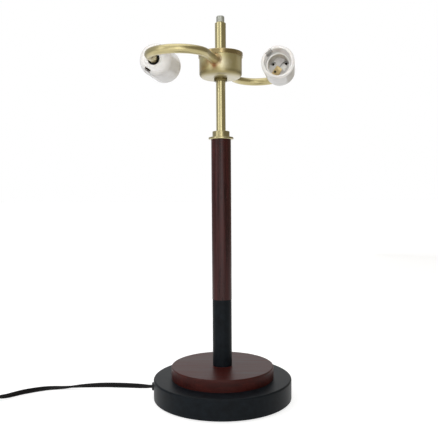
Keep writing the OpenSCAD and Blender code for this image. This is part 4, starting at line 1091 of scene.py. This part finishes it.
soft_lamp("window_left", at=(-1.31, -0.92, 0.75), aim=(0, 0, 0.35), size=(0.45, 1.6), power=3.1)
soft_lamp("window_front", at=(0.13, -1.6, 0.6), aim=(0, 0, 0.4), size=(0.3, 1.3), power=2.1)
soft_lamp("low_front", at=(0, -1.3, 0.22), aim=(0, 0, 0.3), size=(1.4, 0.4), power=2.6)
soft_lamp("ceiling", at=(-0.25, -0.3, 1.9), aim=(0, 0, 0.3), size=(1.7, 1.7), power=6)
soft_lamp("fill_left", at=(-1.0, -0.4, 0.6), aim=(0, 0, 0.35), size=(0.6, 0.5), power=1.5, in_metal=False)
soft_lamp("fill_back", at=(0.5, 1.2, 0.5), aim=(0, 0, 0.4), size=(0.8, 0.8), power=3.5, in_metal=False)
print("lamps:", len(bpy.data.lights))

# %% [markdown]
# ## Narrow lamps for the porcelain
#
# A deep white socket beside bright brass looks grey inside. More light on everything would bleach the brass, so two
# narrow spots reach the sockets alone: one looks into the open mouth from a little below its axis, and one comes
# from the right. Neither shows in the metal.

# %% Narrow lamps
SPOT_SIZE, SPOT_BLEND = 0.2, 0.6
MOUTH_LAMP_REACH, MOUTH_LAMP_DROP, MOUTH_AIM = 1250, 300, 40


def narrow_lamp(name, at, aim, cone, power):
    data = bpy.data.lights.new(name, "SPOT")
    data.spot_size, data.spot_blend = math.radians(cone), SPOT_BLEND
    data.shadow_soft_size = SPOT_SIZE
    hang(data, at, aim, power, in_metal=False)


mouth = socket_frame("right")
below = mouth @ Vector((0, 0, MOUTH_LAMP_REACH)) - Vector((0, 0, MOUTH_LAMP_DROP))
narrow_lamp("into_socket", at=below * MM, aim=mouth @ Vector((0, 0, MOUTH_AIM)) * MM, cone=6, power=120)
narrow_lamp("head_right", at=(1.0, -0.6, 0.15), aim=(-0.04, 0, 0.43), cone=14, power=24)
print("lamps with the spots:", len(bpy.data.lights))

# %% [markdown]
# ## Grey screens
#
# Between its bright stripes, brass would mirror plain white. Studios hang grey cards for that, and here each card
# is an upright edge, spun part of the way round the lamp: bright in front, darker at the left, dark and warm at the
# right, with a darker skirting along the floor. The camera does not see them, and the brass does.

# %% Screens
SCREEN_RADIUS = 2.0
SCREEN_HEIGHT = 3.2
SCREEN_STEPS = 24
SKIRTING = 0.4


def screen(name, start, end, tone, tint=(1, 1, 1), low=0.0, high=SCREEN_HEIGHT):
    """A curved screen between two angles from the camera's side, to the right of it where they are positive."""
    bm = bmesh.new()
    verts = [bm.verts.new((0, -SCREEN_RADIUS, z)) for z in (low, high)]
    bm.edges.new(verts)
    bmesh.ops.rotate(bm, cent=(0, 0, 0), matrix=turn(start, "Z").to_3x3(), verts=verts)
    bmesh.ops.spin(bm, geom=bm.verts[:] + bm.edges[:], axis=(0, 0, 1), cent=(0, 0, 0),
                   angle=math.radians(end - start), steps=SCREEN_STEPS)
    piece = finish_mesh(bm, name)
    material, _, shader = new_material(name)
    shader.inputs["Base Color"].default_value = (0, 0, 0, 1)
    shader.inputs["Specular IOR Level"].default_value = 0
    shader.inputs["Emission Color"].default_value = (*tint, 1)
    shader.inputs["Emission Strength"].default_value = tone
    piece.data.materials.append(material)
    piece.visible_camera = False
    print(name, "from", start, "to", end, "degrees")


screen("screen_front", -72, 10, 0.85, low=SKIRTING)
screen("screen_left", -160, -72, 0.55, low=SKIRTING)
screen("skirting", -160, 10, 0.4, high=SKIRTING)
screen("screen_right", 20, 160, 0.31, tint=(1, 0.92, 0.76))

# %% [markdown]
# ## Floor and background
#
# The background is white because the world is white to the camera and in reflections, and a quieter grey where it
# lights matt surfaces. A brighter lamp on the floor would do it too, but would bleach the lamp. The floor is pale
# paper that only the camera and reflections see a little brighter, so it meets the background without a line and
# still keeps the lamp's shadow.

# %% World
WORLD_ON_MATT, WORLD_SEEN = 0.6, 1.0


def seen_rays(tree):
    """1 for what the camera, reflections and glass see, and 0 for light on matt surfaces."""
    rays = add_node(tree, "ShaderNodeLightPath").outputs
    seen = math_node(tree, "ADD", rays["Is Camera Ray"], rays["Is Glossy Ray"])
    return math_node(tree, "ADD", seen, rays["Is Transmission Ray"], clamp=True)


world = bpy.data.worlds.new("studio")
world.use_nodes = True
scene.world = world
tree = world.node_tree
background = tree.nodes["Background"]
background.inputs["Color"].default_value = (1, 1, 1, 1)
strength = span_node(tree, seen_rays(tree), WORLD_ON_MATT, WORLD_SEEN)
tree.links.new(strength, background.inputs["Strength"])

# %% Floor
FLOOR_HALF, FLOOR_DROP = 30, 0.2 * MM
PAPER_GREY, PAPER_ROUGH, PAPER_SEEN = 0.5, 0.9, 0.72

bm = bmesh.new()
bmesh.ops.create_grid(bm, x_segments=1, y_segments=1, size=FLOOR_HALF)
bmesh.ops.translate(bm, vec=(0, 0, -FLOOR_DROP), verts=bm.verts)
floor = finish_mesh(bm, "floor")
paper, tree, shader = new_material("white_paper")
shader.inputs["Base Color"].default_value = (PAPER_GREY, PAPER_GREY, PAPER_GREY, 1)
shader.inputs["Roughness"].default_value = PAPER_ROUGH
shader.inputs["Emission Color"].default_value = (1, 1, 1, 1)
tree.links.new(times(tree, seen_rays(tree), PAPER_SEEN), shader.inputs["Emission Strength"])
floor.data.materials.append(paper)
print("floor's half width in m:", FLOOR_HALF, "world's strength on matt surfaces:", WORLD_ON_MATT)
